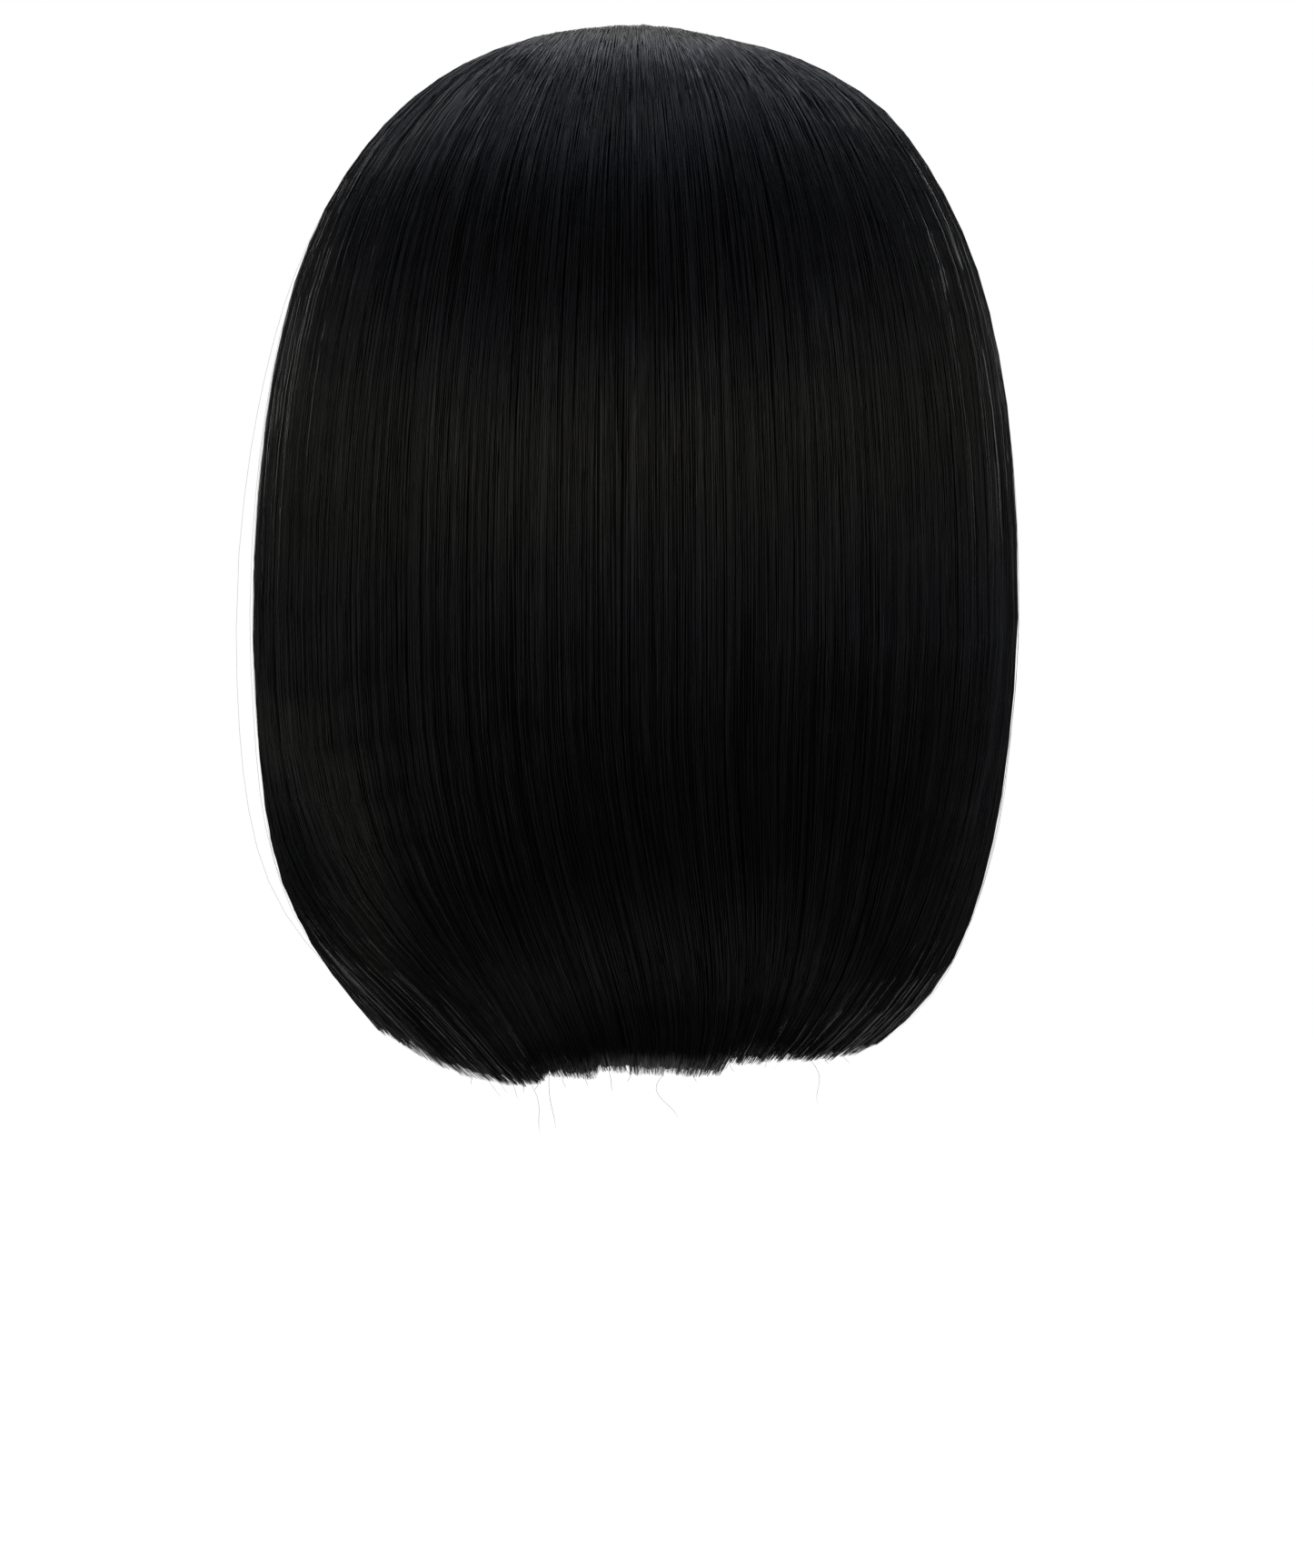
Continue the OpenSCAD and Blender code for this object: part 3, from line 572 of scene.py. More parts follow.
def crown_fall():
    """The hair of the crown's own wefts, which falls straight back over the hair of the parting."""
    for half, side in ((1, 1), (2, -1)):
        count = CROWN_STRANDS
        x0 = side * np.sort(random.uniform(0, 1, count))[:, None] * CROWN_SPREAD
        y0 = lerp(PART_REAR + 3, CROWN_FRONT, random.uniform(0, 1, (count, 1)) ** 1.5) - 0.2 * np.abs(x0)
        s = np.linspace(0, 1, CROWN_STEPS)[None, :]
        x = x0 * (1 + CROWN_WIDEN * s**2)
        y_end = BACK_D * CROWN_END_R * np.sqrt(1 - (x0 * (1 + CROWN_WIDEN) / (HALF_W * CROWN_END_R)) ** 2)
        y = y0 + (y_end - y0) * s
        sway = random.uniform(0.1, 0.5, (count, 1)) * waves(count, s, 0.8, 3)
        bob = random.uniform(0.03, 0.2, (count, 1)) * waves(count, s, 5, 9)
        tucked = 1.6 * ease((s - 0.55) / 0.45) + 1.2 * ease((0.06 - s) / 0.06)
        sink = random.uniform(-0.2, 0.9, (count, 1)) + tucked
        paths = over_plan(x + sway * ease(s * 5), y, sink + bob)
        obj = tubes(f"crown_fall_strands_{half}", paths, *fibre_looks(count))
        wear_material(obj, FIBRE)
        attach(obj, "cap")


# The mass stays this thick where the crown leaves it little room, down to that angle
THINNEST_MASS, CROWN_TO = 0.8, 40
# Degrees from column to column of the mass, its steps from top to hem, and the angle at which it starts
MASS_PITCH, MASS_STEPS, MASS_TOP = 0.8, 44, 2.5


def hair_mass(name, phi_from, phi_to, inset_out, inset_in, tip=None):
    """The closed body of hair behind the strands, ridged like a bundle of fibres."""
    phi = np.linspace(phi_from, phi_to, int((phi_to - phi_from) / MASS_PITCH))[:, None]
    s = np.linspace(0, 1, MASS_STEPS)[None, :]
    tip_phi = phi + drift(phi % 360)
    end = hem_theta(tip_phi % 360) - random.uniform(0, 0.4, phi.shape) if tip is None else tip + 0 * phi
    theta = MASS_TOP + (end - MASS_TOP) * s**1.1
    swept = phi + drift(phi % 360) * ease((theta - DRIFT_FROM) / (HEM_ANGLE - DRIFT_FROM))
    ridge = 0.5 * random.uniform(-1, 1, phi.shape) + 0.25 * np.sin(np.radians(phi * 37))
    uneven = evening(swept, theta)
    thin = lerp(1.0, 0.55, ease((theta - 90) / (HEM_ANGLE - 90)))
    shallow = lerp(0.35, 1, ease(theta / 30))
    outer = hair_point(swept, theta, inset_out * shallow + ridge * ease(s * 6) + uneven)
    inner = hair_point(swept, theta, inset_out + (inset_in - inset_out) * thin - ridge * ease(s * 6) + uneven)
    over_cap = cap_height(inner[..., 0], inner[..., 1], HAIR_IN - NET_GAP / 2)
    raised = np.minimum(np.maximum(inner[..., 2], over_cap), outer[..., 2] - THINNEST_MASS)
    inner[..., 2] = np.where(theta < CROWN_TO, raised, inner[..., 2])
    obj = thick_sheet(name, outer, inner)
    wear_material(obj, MASS)
    return obj


def follow(obj):
    """Bakes the piece's placement into its mesh."""
    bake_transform(obj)


# Steps along a strand, and strands to the degree: a side piece has to stay under 200,000 triangles
STEPS, STRANDS_PER_DEGREE = 30, 28
LEFT_SPLIT = BACK_EDGE - 6
BACK_PIECES = 4
FRONT_EDGE_DEG, FRONT_EDGE_STRANDS = 2.5, 260
FRINGE_STRANDS, FRINGE_STEPS = 1000, 20
FRINGE_LAYER, FRINGE_INSIDE = 2.4, 4.6


def outer_hair():
    """The loose hair: strands over a closed mass, for the back, the two sides and the fringe."""
    back = np.linspace(LEFT_SPLIT, 360 - BACK_EDGE, BACK_PIECES + 1)
    for i, (a, b) in enumerate(zip(back, back[1:])):
        part = fibres(f"back_strands_{i + 1}", a, b, int((b - a) * STRANDS_PER_DEGREE), STEPS)
        follow(part)
    part = hair_mass("back_hair_body", LEFT_SPLIT, 360 - BACK_EDGE, STRAND_LAYER, VEIL_T)
    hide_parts("back_hair")
    follow(part)
    for side, a, b in (("left", FRINGE_EDGE, LEFT_SPLIT), ("right", 360 - BACK_EDGE, 360 - FRINGE_EDGE)):
        for half, (c, d) in enumerate(((a, (a + b) / 2), ((a + b) / 2, b))):
            part = fibres(f"{side}_side_strands_{half + 1}", c, d, int((d - c) * STRANDS_PER_DEGREE), STEPS)
            follow(part)
        edge = (a, a + FRONT_EDGE_DEG) if side == "left" else (b - FRONT_EDGE_DEG, b)
        part = fibres(f"{side}_front_edge_strands", *edge, FRONT_EDGE_STRANDS, STEPS, deepest=VEIL_T - 1)
        follow(part)
        part = hair_mass(f"{side}_side_hair_body", a, b, STRAND_LAYER, VEIL_T)
        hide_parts(f"{side}_side_hair", f"crown_hair_{side}")
        follow(part)
    tips = theta_at(FRINGE_HEM)
    count = FRINGE_STRANDS
    part = fibres(
        "fringe_strands", -FRINGE_EDGE, FRINGE_EDGE, count, FRINGE_STEPS,
        tip_theta=tips + random.normal(0, 0.45, count) - np.abs(random.normal(0, 0.6, count)),
    )
    follow_fringe(part)
    part = hair_mass("fringe_body", -FRINGE_EDGE, FRINGE_EDGE, FRINGE_LAYER, FRINGE_INSIDE, tip=tips - 1)
    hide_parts("fringe")
    follow_fringe(part)


def follow_fringe(obj):
    """Bakes the fringe piece's placement into its mesh."""
    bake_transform(obj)


# ---- Weft rows under the outer hair
# Where the inside of the mass leaves the cap, and how wide it is at the hem as a share of the cap
SIDE_TURN_Z, SIDE_HEM_SHARE = -60, 0.66
BACK_TURN_Z, BACK_HEM_SHARE = -70, 0.55
ROOT_WEIGHT, GROW_H, ROW_GAP_SHARE = 0.3, 80, 0.15
ROWS_FROM, BACK_ROWS_FROM = 50, 120
TIP_THETA, TIP_STEPS = HEM_ANGLE - 10, 7
# Degrees from column to column of a row's body, its steps, and those of its strands
WEFT_PITCH, WEFT_STEPS, WEFT_STRAND_STEPS = 1.5, 22, 14
# Rows that can be seen have more strands to the degree than the rows between
SEEN_ROWS, SEEN_PER_DEGREE, HIDDEN_PER_DEGREE = (1, BACK_ROWS + 1, WEFT_ROWS), 3.0, 1.6
WEFT_STRAND_W = (0.4, 0.7)


def behind_ear(phi):
    """1 behind the ears and 0 in front of them."""
    return ease((180 - np.abs(180 - phi % 360) - 112) / 26)


def inner_share(phi, z):
    """Inside of the hair mass, as a share of the cap's plan."""
    low_side = lerp(1, SIDE_HEM_SHARE, (np.maximum(0, SIDE_TURN_Z - z) / (SIDE_TURN_Z - HEM_Z)) ** 2)
    side = np.where(z > 0, cap_share(z, HAIR_IN), low_side)
    at_turn = cap_share(np.float64(BACK_TURN_Z), HAIR_IN)
    low_back = lerp(at_turn, BACK_HEM_SHARE, (BACK_TURN_Z - z) / (BACK_TURN_Z - HEM_Z))
    back = np.where(z > BACK_TURN_Z, cap_share(z, HAIR_IN), low_back)
    return lerp(side, back, behind_ear(phi))


def row_z(k):
    """The height of a row's track."""
    return FIRST_ROW_Z + (k - 1) * ROW_PITCH


def row_share(k, phi, z):
    """Share of the space between the cap and the outer hair that rows 1 to k fill."""
    fill = np.maximum(0.15, behind_ear(phi))
    total = sum(
        (ROOT_WEIGHT * np.clip((row_z(j + 1) - z) / ROW_PITCH, 0, 1) + np.clip((row_z(j) - z) / GROW_H, 0, 1))
        * (1 if j > BACK_ROWS else fill)
        for j in range(1, k + 1)
    )
    return total / ((1 + ROOT_WEIGHT) * (WEFT_ROWS - BACK_ROWS + BACK_ROWS * fill))


def mass_point(phi, theta, share):
    """A point of the mass under the outer hair: share is 0 on its inside and 1 at its outside."""
    r = np.abs(sin_d(theta)) ** OUT_POWER
    z = WIDE_Z + np.where(theta < 90, UPPER_H, LOWER_H) * signed_pow(cos_d(theta), OUT_POWER)
    below = np.maximum(0, theta - 90) / (HEM_ANGLE - 90)
    inset = lerp(VEIL_T, HEM_T, below**2) + VEIL_GAP
    deep = np.where(cos_d(phi) > 0, FRONT_D, BACK_D)
    shift = (PART_MID - PART_HALF * cos_d(phi)) * (1 - r) ** 2
    outer = np.stack([(HALF_W * r - inset) * sin_d(phi), shift - (deep * r - inset) * cos_d(phi), z], -1)
    s = inner_share(phi, z)
    x, y = (HEAD_W / 2 + HAIR_IN) * s * sin_d(phi), -(HEAD_L / 2 + HAIR_IN) * s * cos_d(phi)
    inner = np.stack([x, y, z], -1)
    return inner + (outer - inner) * share[..., None]


def row_surface(k, phi, theta, inside):
    """A point on one weft row, from 0 on its outside to 1 on its inside."""
    z = WIDE_Z + np.where(theta < 90, UPPER_H, LOWER_H) * signed_pow(cos_d(theta), OUT_POWER)
    high = row_share(k, phi, z)
    low = lerp(row_share(k - 1, phi, z) if k > 1 else 0 * high, high, ROW_GAP_SHARE)
    return mass_point(phi, theta, lerp(high, low, inside))


def weft_rows():
    """Each weft row: a closed body of hair with strands on both of its faces."""
    first_theta = theta_at(FIRST_ROW_Z)
    for k in range(1, WEFT_ROWS + 1):
        start_phi = ROWS_FROM if k > BACK_ROWS else BACK_ROWS_FROM
        last = TIP_STEPS - (WEFT_ROWS - k) // 2
        end = lerp(first_theta, TIP_THETA, last / TIP_STEPS)
        start = theta_at(row_z(k))
        phi = np.linspace(start_phi, 360 - start_phi, int((360 - 2 * start_phi) / WEFT_PITCH))[:, None]
        theta = lerp(start, end, np.linspace(0, 1, WEFT_STEPS)[None, :]) + 0 * phi
        theta = theta - 1.2 * ease((theta - start) / (end - start)) * random.uniform(0, 1, phi.shape)
        wide = phi + 0 * theta
        ridge = 0.12 * random.uniform(-1, 1, phi.shape) + 0 * theta
        body = thick_sheet(
            f"weft_body_{k}",
            row_surface(k, wide, theta, 0.1 + np.abs(ridge)),
            row_surface(k, wide, theta, 0.9 + ridge),
        )
        wear_material(body, MASS)
        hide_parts(f"weft_hair_{k}")
        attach(body, "cap")
        per_degree = SEEN_PER_DEGREE if k in SEEN_ROWS else HIDDEN_PER_DEGREE
        count = int((360 - 2 * start_phi) * per_degree)
        phi0 = np.sort(random.uniform(start_phi, 360 - start_phi, count))
        tips = end + 0.8 - np.abs(random.normal(0, 1.1, count))
        s = np.linspace(0, 1, WEFT_STRAND_STEPS)[None, :]
        theta = start + (tips - start)[:, None] * s
        wander = np.degrees(random.normal(0, 0.9, (count, 1)) * np.sin(math.pi * s * 1.3) / 80)
        inside = random.choice([0.0, 1.0], (count, 1)) + random.uniform(-0.06, 0.06, (count, 1)) + 0 * s
        paths = row_surface(k, phi0[:, None] + wander, theta, inside)
        strands = tubes(
            f"weft_strands_{k}", paths, random.uniform(*WEFT_STRAND_W, count),
            random.uniform(0, 6.28, count), random.uniform(0, 1, count),
        )
        wear_material(strands, FIBRE)
        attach(strands, "cap")


def band(name, place, columns, rows, inner_off, outer_off, mat, body="cap", rib=0.0, ribs=1):
    """A cloth band, ribbed along. place(u, v, off) gives its points for u along it and v across it.

    With no body, it is left unattached, and the caller bakes its placement.
    """
    u = np.linspace(0, 1, columns)[:, None] + np.zeros((1, rows))
    v = np.linspace(0, 1, rows)[None, :] + np.zeros((columns, 1))
    height = rib * np.cos(2 * math.pi * ribs * v) * (1 - (2 * v - 1) ** 8)
    outer = place(u, v, outer_off - rib + height)
    inner = place(u, v, inner_off + rib - height)
    obj = thick_sheet(f"{name}_cloth", outer, inner)
    wear_material(obj, mat)
    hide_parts(name)
    if body:
        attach(obj, body)
    return obj


def edge_band(phi_from, phi_to, low, high):
    """Points of a band between two heights, given by azimuth."""

    def place(u, v, off):
        phi = lerp(phi_from, phi_to, u)
        return cap_point(phi, lerp(high(phi), low(phi), v), off)

    return place


def level(z):
    """An edge at one height."""
    return lambda phi: z + 0 * phi


def above(edge, extra):
    """An edge that runs that far above another."""
    return lambda phi: edge(phi) + extra


def ribbon_place(phi, high, low, half_w, side):
    """Points of a ribbon that runs down the cap at one azimuth, mirrored for side -1."""
    along = np.array([HEAD_W * cos_d(phi), HEAD_L * sin_d(phi), 0])
    across = along / np.linalg.norm(along)

    def place(u, v, off):
        angle = lerp(cap_angle(np.float64(high), BAND_OUT), cap_angle(np.float64(low), BAND_OUT), u)
        point = cap_point(phi, cap_z(angle, off), off) + (2 * v - 1)[..., None] * half_w * across
        return point * [side, 1, 1]

    return place


# The cap's cloth, as in the CAD: widths, gaps between pieces, azimuths and ends
RIBBON_W, ELASTIC_H, FRONT_BAND_H, NAPE_BAND_H = 12, 7, 16, 20
RIBBON_GAP, RIBBON_END_GAP = 2, 0.3
CENTRE_AZIMUTH, INNER_AZIMUTH, OUTER_AZIMUTH = 180, 152, 122
INNER_CORNER_DROP, OUTER_RIBBON_DROP = 7, 29
FRONT_BAND_END, NAPE_FROM, ELASTIC_FROM = 62, 148, 92
TAB_AT, TAB_W, TAB_L, TAB_GAP, TAB_ROUNDING = 79, 24, 30, 1.5, 0.45
STRIP_PAST = 4


def ribbon_start(phi):
    """The height at which a ribbon leaves the one over the crown."""
    rho = (RIBBON_W / 2 + RIBBON_GAP) / max(0.2, abs(cos_d(phi)))
    return float(cap_height(rho * sin_d(phi), rho * cos_d(phi), BAND_OUT))


def cap_cloth():
    """The bands, ribbons, elastics and tabs of the cap."""
    front = edge_band(-FRONT_BAND_END, FRONT_BAND_END, edge_z, above(edge_z, FRONT_BAND_H))
    band("front_band", front, 90, 13, BAND_IN, BAND_OUT, RIBBON, rib=0.1, ribs=6)
    nape = edge_band(NAPE_FROM, 360 - NAPE_FROM, level(NAPE_Z), level(NAPE_Z + NAPE_BAND_H))
    band("nape_band", nape, 60, 25, BAND_IN, BAND_OUT, ELASTIC, rib=0.15, ribs=8)
    over_low = EAR_Z + ELASTIC_H + RIBBON_GAP

    def over_crown(u, v, off):
        a = lerp(-90, 90, u)
        z = lerp(over_low, CROWN_H + off, np.maximum(0, cos_d(a)) ** (2 / CAP_ROUND))
        x = (HEAD_W / 2 + off) * cap_share(np.minimum(z, CROWN_H + off), off) * np.sign(a)
        return np.stack([x, (2 * v - 1) * RIBBON_W / 2, z], -1)

    band("crown_ribbon", over_crown, 81, 13, BAND_IN, BAND_OUT, RIBBON, rib=0.1, ribs=4)
    nape_top = NAPE_Z + NAPE_BAND_H + RIBBON_END_GAP
    down_nape = ribbon_place(CENTRE_AZIMUTH, ribbon_start(CENTRE_AZIMUTH), nape_top, RIBBON_W / 2, 1)
    band("centre_ribbon", down_nape, 60, 13, BAND_IN, BAND_OUT, RIBBON, rib=0.1, ribs=4)
    inner_top = ribbon_start(INNER_AZIMUTH) - INNER_CORNER_DROP
    outer_low = float(edge_z(OUTER_AZIMUTH - math.degrees(RIBBON_W / HEAD_W))) + ELASTIC_H + RIBBON_END_GAP
    for side, sign in (("left", 1), ("right", -1)):
        inner = ribbon_place(INNER_AZIMUTH, inner_top, nape_top, RIBBON_W / 2, sign)
        band(f"{side}_inner_ribbon", inner, 60, 13, BAND_IN, BAND_OUT, RIBBON, rib=0.1, ribs=4)
        outer = ribbon_place(OUTER_AZIMUTH, CROWN_H - OUTER_RIBBON_DROP, outer_low, RIBBON_W / 2, sign)
        band(f"{side}_outer_ribbon", outer, 40, 13, BAND_IN, BAND_OUT, RIBBON, rib=0.1, ribs=4)
        elastic = edge_band(ELASTIC_FROM * sign, (NAPE_FROM - 1) * sign, edge_z, above(edge_z, ELASTIC_H))
        band(f"{side}_ear_elastic", elastic, 60, 17, BAND_IN, BAND_OUT, ELASTIC, rib=0.15, ribs=5)
        ear_tab(side, sign)
        adjusters(side, sign)


def ear_tab(side, sign):
    """The cloth tab in front of the ear, rounded at its end and bound at its edge."""
    half = math.degrees(TAB_W / 2 / (HEAD_L / 2))
    top = EAR_Z - TAB_GAP

    def place(u, v, off):
        w = 2 * u - 1
        low = top - TAB_L * (1 - TAB_ROUNDING * w * w)
        return cap_point(sign * (TAB_AT + half * w), lerp(top, low, v), off)

    band(f"{side}_ear_tab", place, 30, 26, BAND_IN, BAND_OUT, RIBBON,
         body=f"{side}_tab", rib=0.12, ribs=7)


# ---- Adjusters, as in the CAD
ADJUSTER_Z, ADJUST_AT, LOOP_PITCH, LOOPS, STRAP_W = -74, 38, 10, 3, 8
HOOK_AT, HOOK_RING_W, WIRE_D, STRAP_CLEAR, STRAP_TURN = 1.1, 5, 1.2, 0.8, 24
TAPE_PAST = 1
nape_share = float(cap_share(np.float64(ADJUSTER_Z), 0))
NAPE_A, NAPE_B = HEAD_W / 2 * nape_share, HEAD_L / 2 * nape_share
NAPE_R = math.hypot(NAPE_A * cos_d(ADJUST_AT), NAPE_B * sin_d(ADJUST_AT)) ** 3 / (NAPE_A * NAPE_B)
TAPE_IN = -BAND_T - CLOTH_GAP


def strap_azimuth(arc):
    """Azimuth of a place on the nape, that far from the middle loop towards the ear."""
    return 180 - ADJUST_AT - math.degrees(arc / NAPE_R)


def adjusters(side, sign):
    """The elastic strap, which stretches after its hook, and the tape that carries the loops."""
    near = strap_azimuth(((LOOPS - 1) / 2 + HOOK_AT) * LOOP_PITCH + (HOOK_RING_W + WIRE_D) / 2 + STRAP_CLEAR)
    far = near - STRAP_TURN

    def middle(phi):
        return lerp(ADJUSTER_Z, edge_z(phi) + STRAP_W, np.clip((near - phi) / STRAP_TURN, 0, 1))

    def strap(u, v, off):
        phi = lerp(far, near, u)
        return cap_point(sign * phi, middle(phi) + (0.5 - v) * STRAP_W, off)

    piece = band(f"{side}_adjuster_strap", strap, 50, 21, TAPE_IN, -CLOTH_GAP, ELASTIC,
                 body=None, rib=0.15, ribs=5)
    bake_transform(piece)
    reach = (LOOPS + 1) / 2 * LOOP_PITCH - WIRE_D / 2
    half_h = STRAP_W / 2 + TAPE_PAST
    tape = edge_band(
        sign * strap_azimuth(reach), sign * strap_azimuth(-reach),
        level(ADJUSTER_Z - half_h), level(ADJUSTER_Z + half_h),
    )
    band(f"{side}_loop_tape", tape, 30, 13, TAPE_IN, -CLOTH_GAP, RIBBON, rib=0.08, ribs=5)


def parting_strip():
    """The skin-coloured strip under the parting."""

    def place(u, v, off):
        x = lerp(-STRIP_W / 2, STRIP_W / 2, v)
        y = lerp(PART_REAR + STRIP_PAST, PART_FRONT - STRIP_PAST, u)
        return np.stack([x, y, cap_height(x, y, off)], -1)

    band("parting_strip", place, 60, 17, TRACK_IN, TRACK_IN + BAND_T, SKIN)


# The net's threads: how far apart they start, how far round they turn on the way down, and the hoops that
# they cross
NET_PITCH_DEG, NET_TURN, NET_STEPS = 6.0, 48, 34
NET_TOP, NET_HOOPS = 6, (22, 38, 54, 70, 86)
THREAD_W, HOOP_W, BOUND_EDGE_W = 0.55, 0.6, 1.6


def crown_net():
    """The open net: two families of crossing threads and a bound edge."""
    middle = NET_IN + NET_T / 2
    phi0 = (np.arange(int(360 / NET_PITCH_DEG)) * NET_PITCH_DEG)[:, None]
    s = np.linspace(0, 1, NET_STEPS)[None, :]
    paths = []
    for turn in (1, -1):
        phi = phi0 + turn * NET_TURN * s
        angle = lerp(NET_TOP, cap_angle(edge_z(phi)), s)
        paths.append(cap_point(phi, cap_z(angle, middle), middle))
    paths = np.concatenate(paths)
    tones = random.uniform(0, 1, len(paths))
    widths = np.full(len(paths), THREAD_W)
    net = tubes("net_threads", paths, widths, 0 * tones, tones, centre=np.zeros(3), taper_from=1.0)
    wear_material(net, NET)
    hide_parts("crown_net")
    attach(net, "cap")
    around = np.linspace(0, 360, 181)
    rings = []
    for angle in (NET_TOP, *NET_HOOPS):
        at = np.minimum(angle + 0 * around, cap_angle(edge_z(around)) - 1)
        rings.append(cap_point(around, cap_z(at, middle), middle))
    rings.append(cap_point(around, edge_z(around), middle))
    hoops = np.stack(rings)
    widths = np.array([HOOP_W] * (len(rings) - 1) + [BOUND_EDGE_W])
    bound = tubes("net_hoops", hoops, widths, np.zeros(len(rings)), np.full(len(rings), 0.5),
                  centre=np.zeros(3), taper_from=1.0, close=True)
    wear_material(bound, NET)
    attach(bound, "cap")


def kept_nodes():
    """CAD pieces whose shape is right keep their mesh and take a finished material."""
    for name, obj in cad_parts.items():
        if "track" in name:
            wear_material(obj, TRACK)
        elif "stay" in name:
            wear_material(obj, STAY)
        elif "hook" in name:
            wear_material(obj, HOOK)
        elif name.endswith("loops"):
            wear_material(obj, ELASTIC)


# ---- Single fibres
LOOSE_FIBRE_W, STRAY_W = 0.11, 0.13


def flyaways():
    """Single fibres that have left the mass: at the edges and over the surface."""
    # From and to azimuth, how many, and how far out the furthest of them stands
    spread = ((99, 103, 2, 6.5), (88, 112, 9, 1.6), (125, 235, 14, 0.6), (258, 280, 5, 1.2))
    phi0 = np.concatenate([random.uniform(a, b, n) for a, b, n, out in spread])
    most = np.concatenate([np.linspace(0.25, 1, n) * out for a, b, n, out in spread])
    count = len(phi0)
    tips = hem_theta((phi0 + drift(phi0)) % 360) + random.uniform(-9, 3, count)
    base = strand_paths(phi0, 0 * phi0, 40, stray=1.6, tip_theta=tips)
    s = np.linspace(0, 1, 40)[None, :]
    off = most[:, None] * ease((s - 0.35) / 0.4) * (1 - 0.4 * ease((s - 0.8) / 0.2))
    paths = base + unit(base - BODY_CENTRE) * off[..., None]
    widths = np.full(count, LOOSE_FIBRE_W)
    obj = tubes("flyaway_strands", paths, widths, np.zeros(count), random.uniform(0, 1, count))
    wear_material(obj, FIBRE)
    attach(obj, "cap")


# Strays of the hem: azimuth of the tip, and how far it hangs out
STRAYS = (
    (126, 5), (131, 7), (135, 5), (139, 6), (143, 4), (147, 15), (150, 3), (156, 16), (160, 4), (166, 3),
    (173, 6), (178, 3), (188, 13), (196, 2.5), (205, 3), (214, 2.5), (229, 13), (236, 2.5), (246, 3),
)


def hem_strays():
    """A few fibres that the scissors missed and that hang out below the hem."""
    tips, reach = np.array(STRAYS).T
    count = len(STRAYS)
    s = np.linspace(0, 1, 24)[None, :]
    theta = lerp(128, hem_theta(tips)[:, None], np.minimum(1, s / 0.55))
    phi = tips[:, None] - 12 * (1 - np.minimum(1, s / 0.55))
    paths = hair_point(phi + 0 * s, theta, 1.5 + 0 * theta)
    down = np.maximum(0, s - 0.55) / 0.45
    lean = random.uniform(0, 0.35, (count, 1)) + 0.6 * (tips < 145)[:, None]
    curl = random.uniform(-1.5, 1.5, (count, 1))
    paths[..., 0] -= reach[:, None] * (lean * down + 0.15 * curl * np.sin(math.pi * down * 1.5))
    paths[..., 2] -= reach[:, None] * down
    obj = tubes("hem_strays", paths, np.full(count, STRAY_W), np.zeros(count), random.uniform(0, 1, count))
    wear_material(obj, FIBRE)
    follow(obj)


# ---- Studio
# Middle of the picture in the plane through the head, as x and z, and the picture's height there
VIEW_CENTRE, VIEW_H = (-5.9, -103.7), 448.5
CAMERA_D, SENSOR = 2400, 36


def camera():
    """The camera looks at the back of the wig, level."""
    data = bpy.data.cameras.new("camera")
    data.sensor_width = SENSOR
    data.lens = SENSOR * CAMERA_D / VIEW_H
    obj = bpy.data.objects.new("camera", data)
    bpy.context.scene.collection.objects.link(obj)
    obj.location = (VIEW_CENTRE[0] * MM, CAMERA_D * MM, VIEW_CENTRE[1] * MM)
    obj.rotation_euler = (math.radians(90), 0, math.radians(180))
    bpy.context.scene.camera = obj


FLOOR_Z, FLOOR_R = -450, 9000


def floor():
    """A wide pale floor. It is bright enough to melt into the backdrop, and the hair isn't lit by it."""
    place = (0, 0, FLOOR_Z * MM)
    bpy.ops.mesh.primitive_circle_add(vertices=96, radius=FLOOR_R * MM, fill_type="NGON", location=place)
    obj = bpy.context.object
    obj.name = "floor"
    mat, tree, shader = new_material("pale_floor")
    speck = node(tree, "ShaderNodeTexNoise", Scale=3.0, Detail=2.0)
    colours = ramp(tree, speck, "Fac", [(0.3, (0.8, 0.8, 0.8)), (0.7, (0.82, 0.82, 0.82))])
    link(tree, colours, "Color", shader, "Base Color")
    shader.inputs["Roughness"].default_value = 0.9
    shader.inputs["Emission Color"].default_value = (1, 1, 1, 1)
    shader.inputs["Emission Strength"].default_value = 1.0
    wear_material(obj, mat)
    obj.visible_glossy = False
    obj.visible_diffuse = False


def studio_world():
    """A plain white backdrop to the camera, and a dim even light to the object."""
    world = bpy.data.worlds.new("studio")
    bpy.context.scene.world = world
    world.use_nodes = True
    tree = world.node_tree
    light = tree.nodes["Background"]
    light.inputs["Color"].default_value = (*ROOM_COLOUR, 1)
    light.inputs["Strength"].default_value = ROOM
    plain = tree.nodes.new("ShaderNodeBackground")
    plain.inputs["Color"].default_value = (1, 1, 1, 1)
    path = tree.nodes.new("ShaderNodeLightPath")
    choose = tree.nodes.new("ShaderNodeMixShader")
    link(tree, path, "Is Camera Ray", choose, "Fac")
    tree.links.new(light.outputs[0], choose.inputs[1])
    tree.links.new(plain.outputs[0], choose.inputs[2])
    tree.links.new(choose.outputs[0], tree.nodes["World Output"].inputs["Surface"])


ROOM, ROOM_COLOUR = 0.072, (0.92, 0.95, 1.00)
LIGHT_D = 2200
PLAIN, COOL, WARM, TEAL, BLUE = (1, 1, 1), (0.75, 0.8, 1), (1, 0.95, 0.65), (0.8, 0.95, 1), (0.3, 0.35, 1)
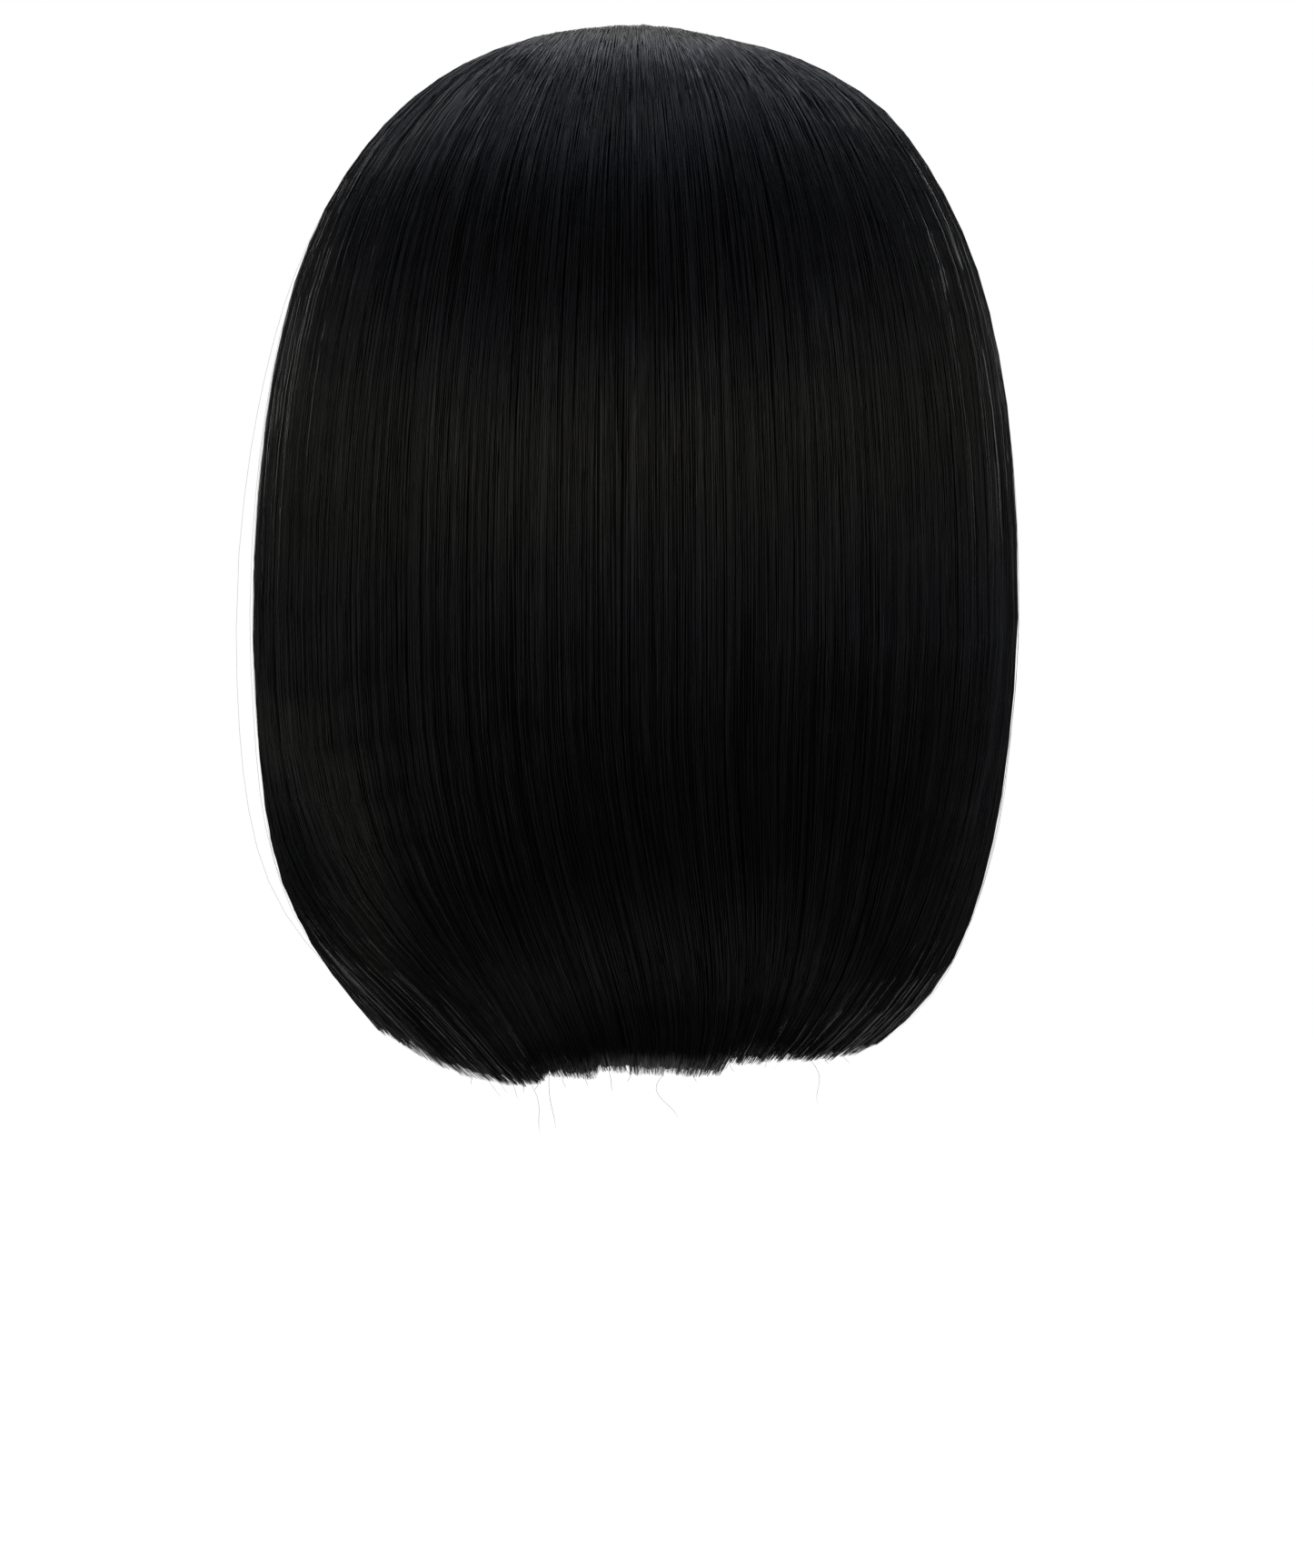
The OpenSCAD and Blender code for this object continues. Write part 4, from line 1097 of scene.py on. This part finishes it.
# Softboxes round the object: name, azimuth, elevation, width and height as angles, radiance and tint.
# Elevation runs on past 90 over the top and down behind the object, on the side away from the camera.
SOFTBOXES = [
    ("camera_low", 180, 4, 100, 10, 0.35, COOL),
    ("camera_middle", 180, 14, 100, 10, 1.2, WARM),
    ("camera_high", 180, 25, 100, 10, 0.65, COOL),
    ("top_1", 180, 71, 80, 6, 0.3, BLUE),
    ("top_2", 180, 77, 80, 6, 0.75, TEAL),
    ("top_3", 180, 83, 80, 6, 1.8, TEAL),
    ("top_4", 180, 101, 80, 6, 0.4, PLAIN),
    ("top_5", 180, 114, 80, 8, 1.4, COOL),
    ("top_6", 180, 122, 80, 8, 1.7, COOL),
    ("top_7", 180, 132, 80, 8, 0.35, PLAIN),
    ("top_8", 180, 162, 80, 8, 0.35, PLAIN),
    ("left_far", 66, 0, 30, 12, 0.2, PLAIN),
    ("left_high", 100, 35, 40, 40, 0.15, COOL),
    ("right_near", 230, 0, 24, 12, 1.1, COOL),
    ("right_high", 260, 35, 40, 40, 0.15, COOL),
    ("right_low", 250, -30, 30, 16, 0.25, PLAIN),
    ("under", 180, -62, 60, 30, 0.3, PLAIN),
    ("face_middle", 0, 12, 70, 16, 1.6, PLAIN),
    ("face_high", 0, 42, 70, 16, 1.1, PLAIN),
    ("face_low", 0, -30, 60, 24, 1.3, PLAIN),
]


def softbox(name, azimuth, elevation, wide, high, radiance, tint):
    """An area light that faces the middle of the hair, of that size as seen from there."""
    data = bpy.data.lights.new(name, "AREA")
    data.shape = "RECTANGLE"
    data.size = 2 * LIGHT_D * MM * math.tan(math.radians(wide) / 2)
    data.size_y = 2 * LIGHT_D * MM * math.tan(math.radians(high) / 2)
    data.energy = radiance * math.pi * data.size * data.size_y
    data.color = tint
    obj = bpy.data.objects.new(name, data)
    bpy.context.scene.collection.objects.link(obj)
    a, e = math.radians(azimuth), math.radians(elevation)
    way = Vector((math.sin(a) * math.cos(e), -math.cos(a) * math.cos(e), math.sin(e)))
    across = Vector((math.cos(a), math.sin(a), 0))
    obj.matrix_world = Matrix.Translation(Vector((0, 0, WIDE_Z * MM)) + way * LIGHT_D * MM) @ Matrix(
        (across, way.cross(across), way)
    ).transposed().to_4x4()
    obj.visible_camera = False


camera()
floor()
studio_world()
for box in SOFTBOXES:
    softbox(*box)
outer_hair()
crown_fall()
weft_rows()
cap_cloth()
parting_strip()
crown_net()
kept_nodes()
flyaways()
hem_strays()
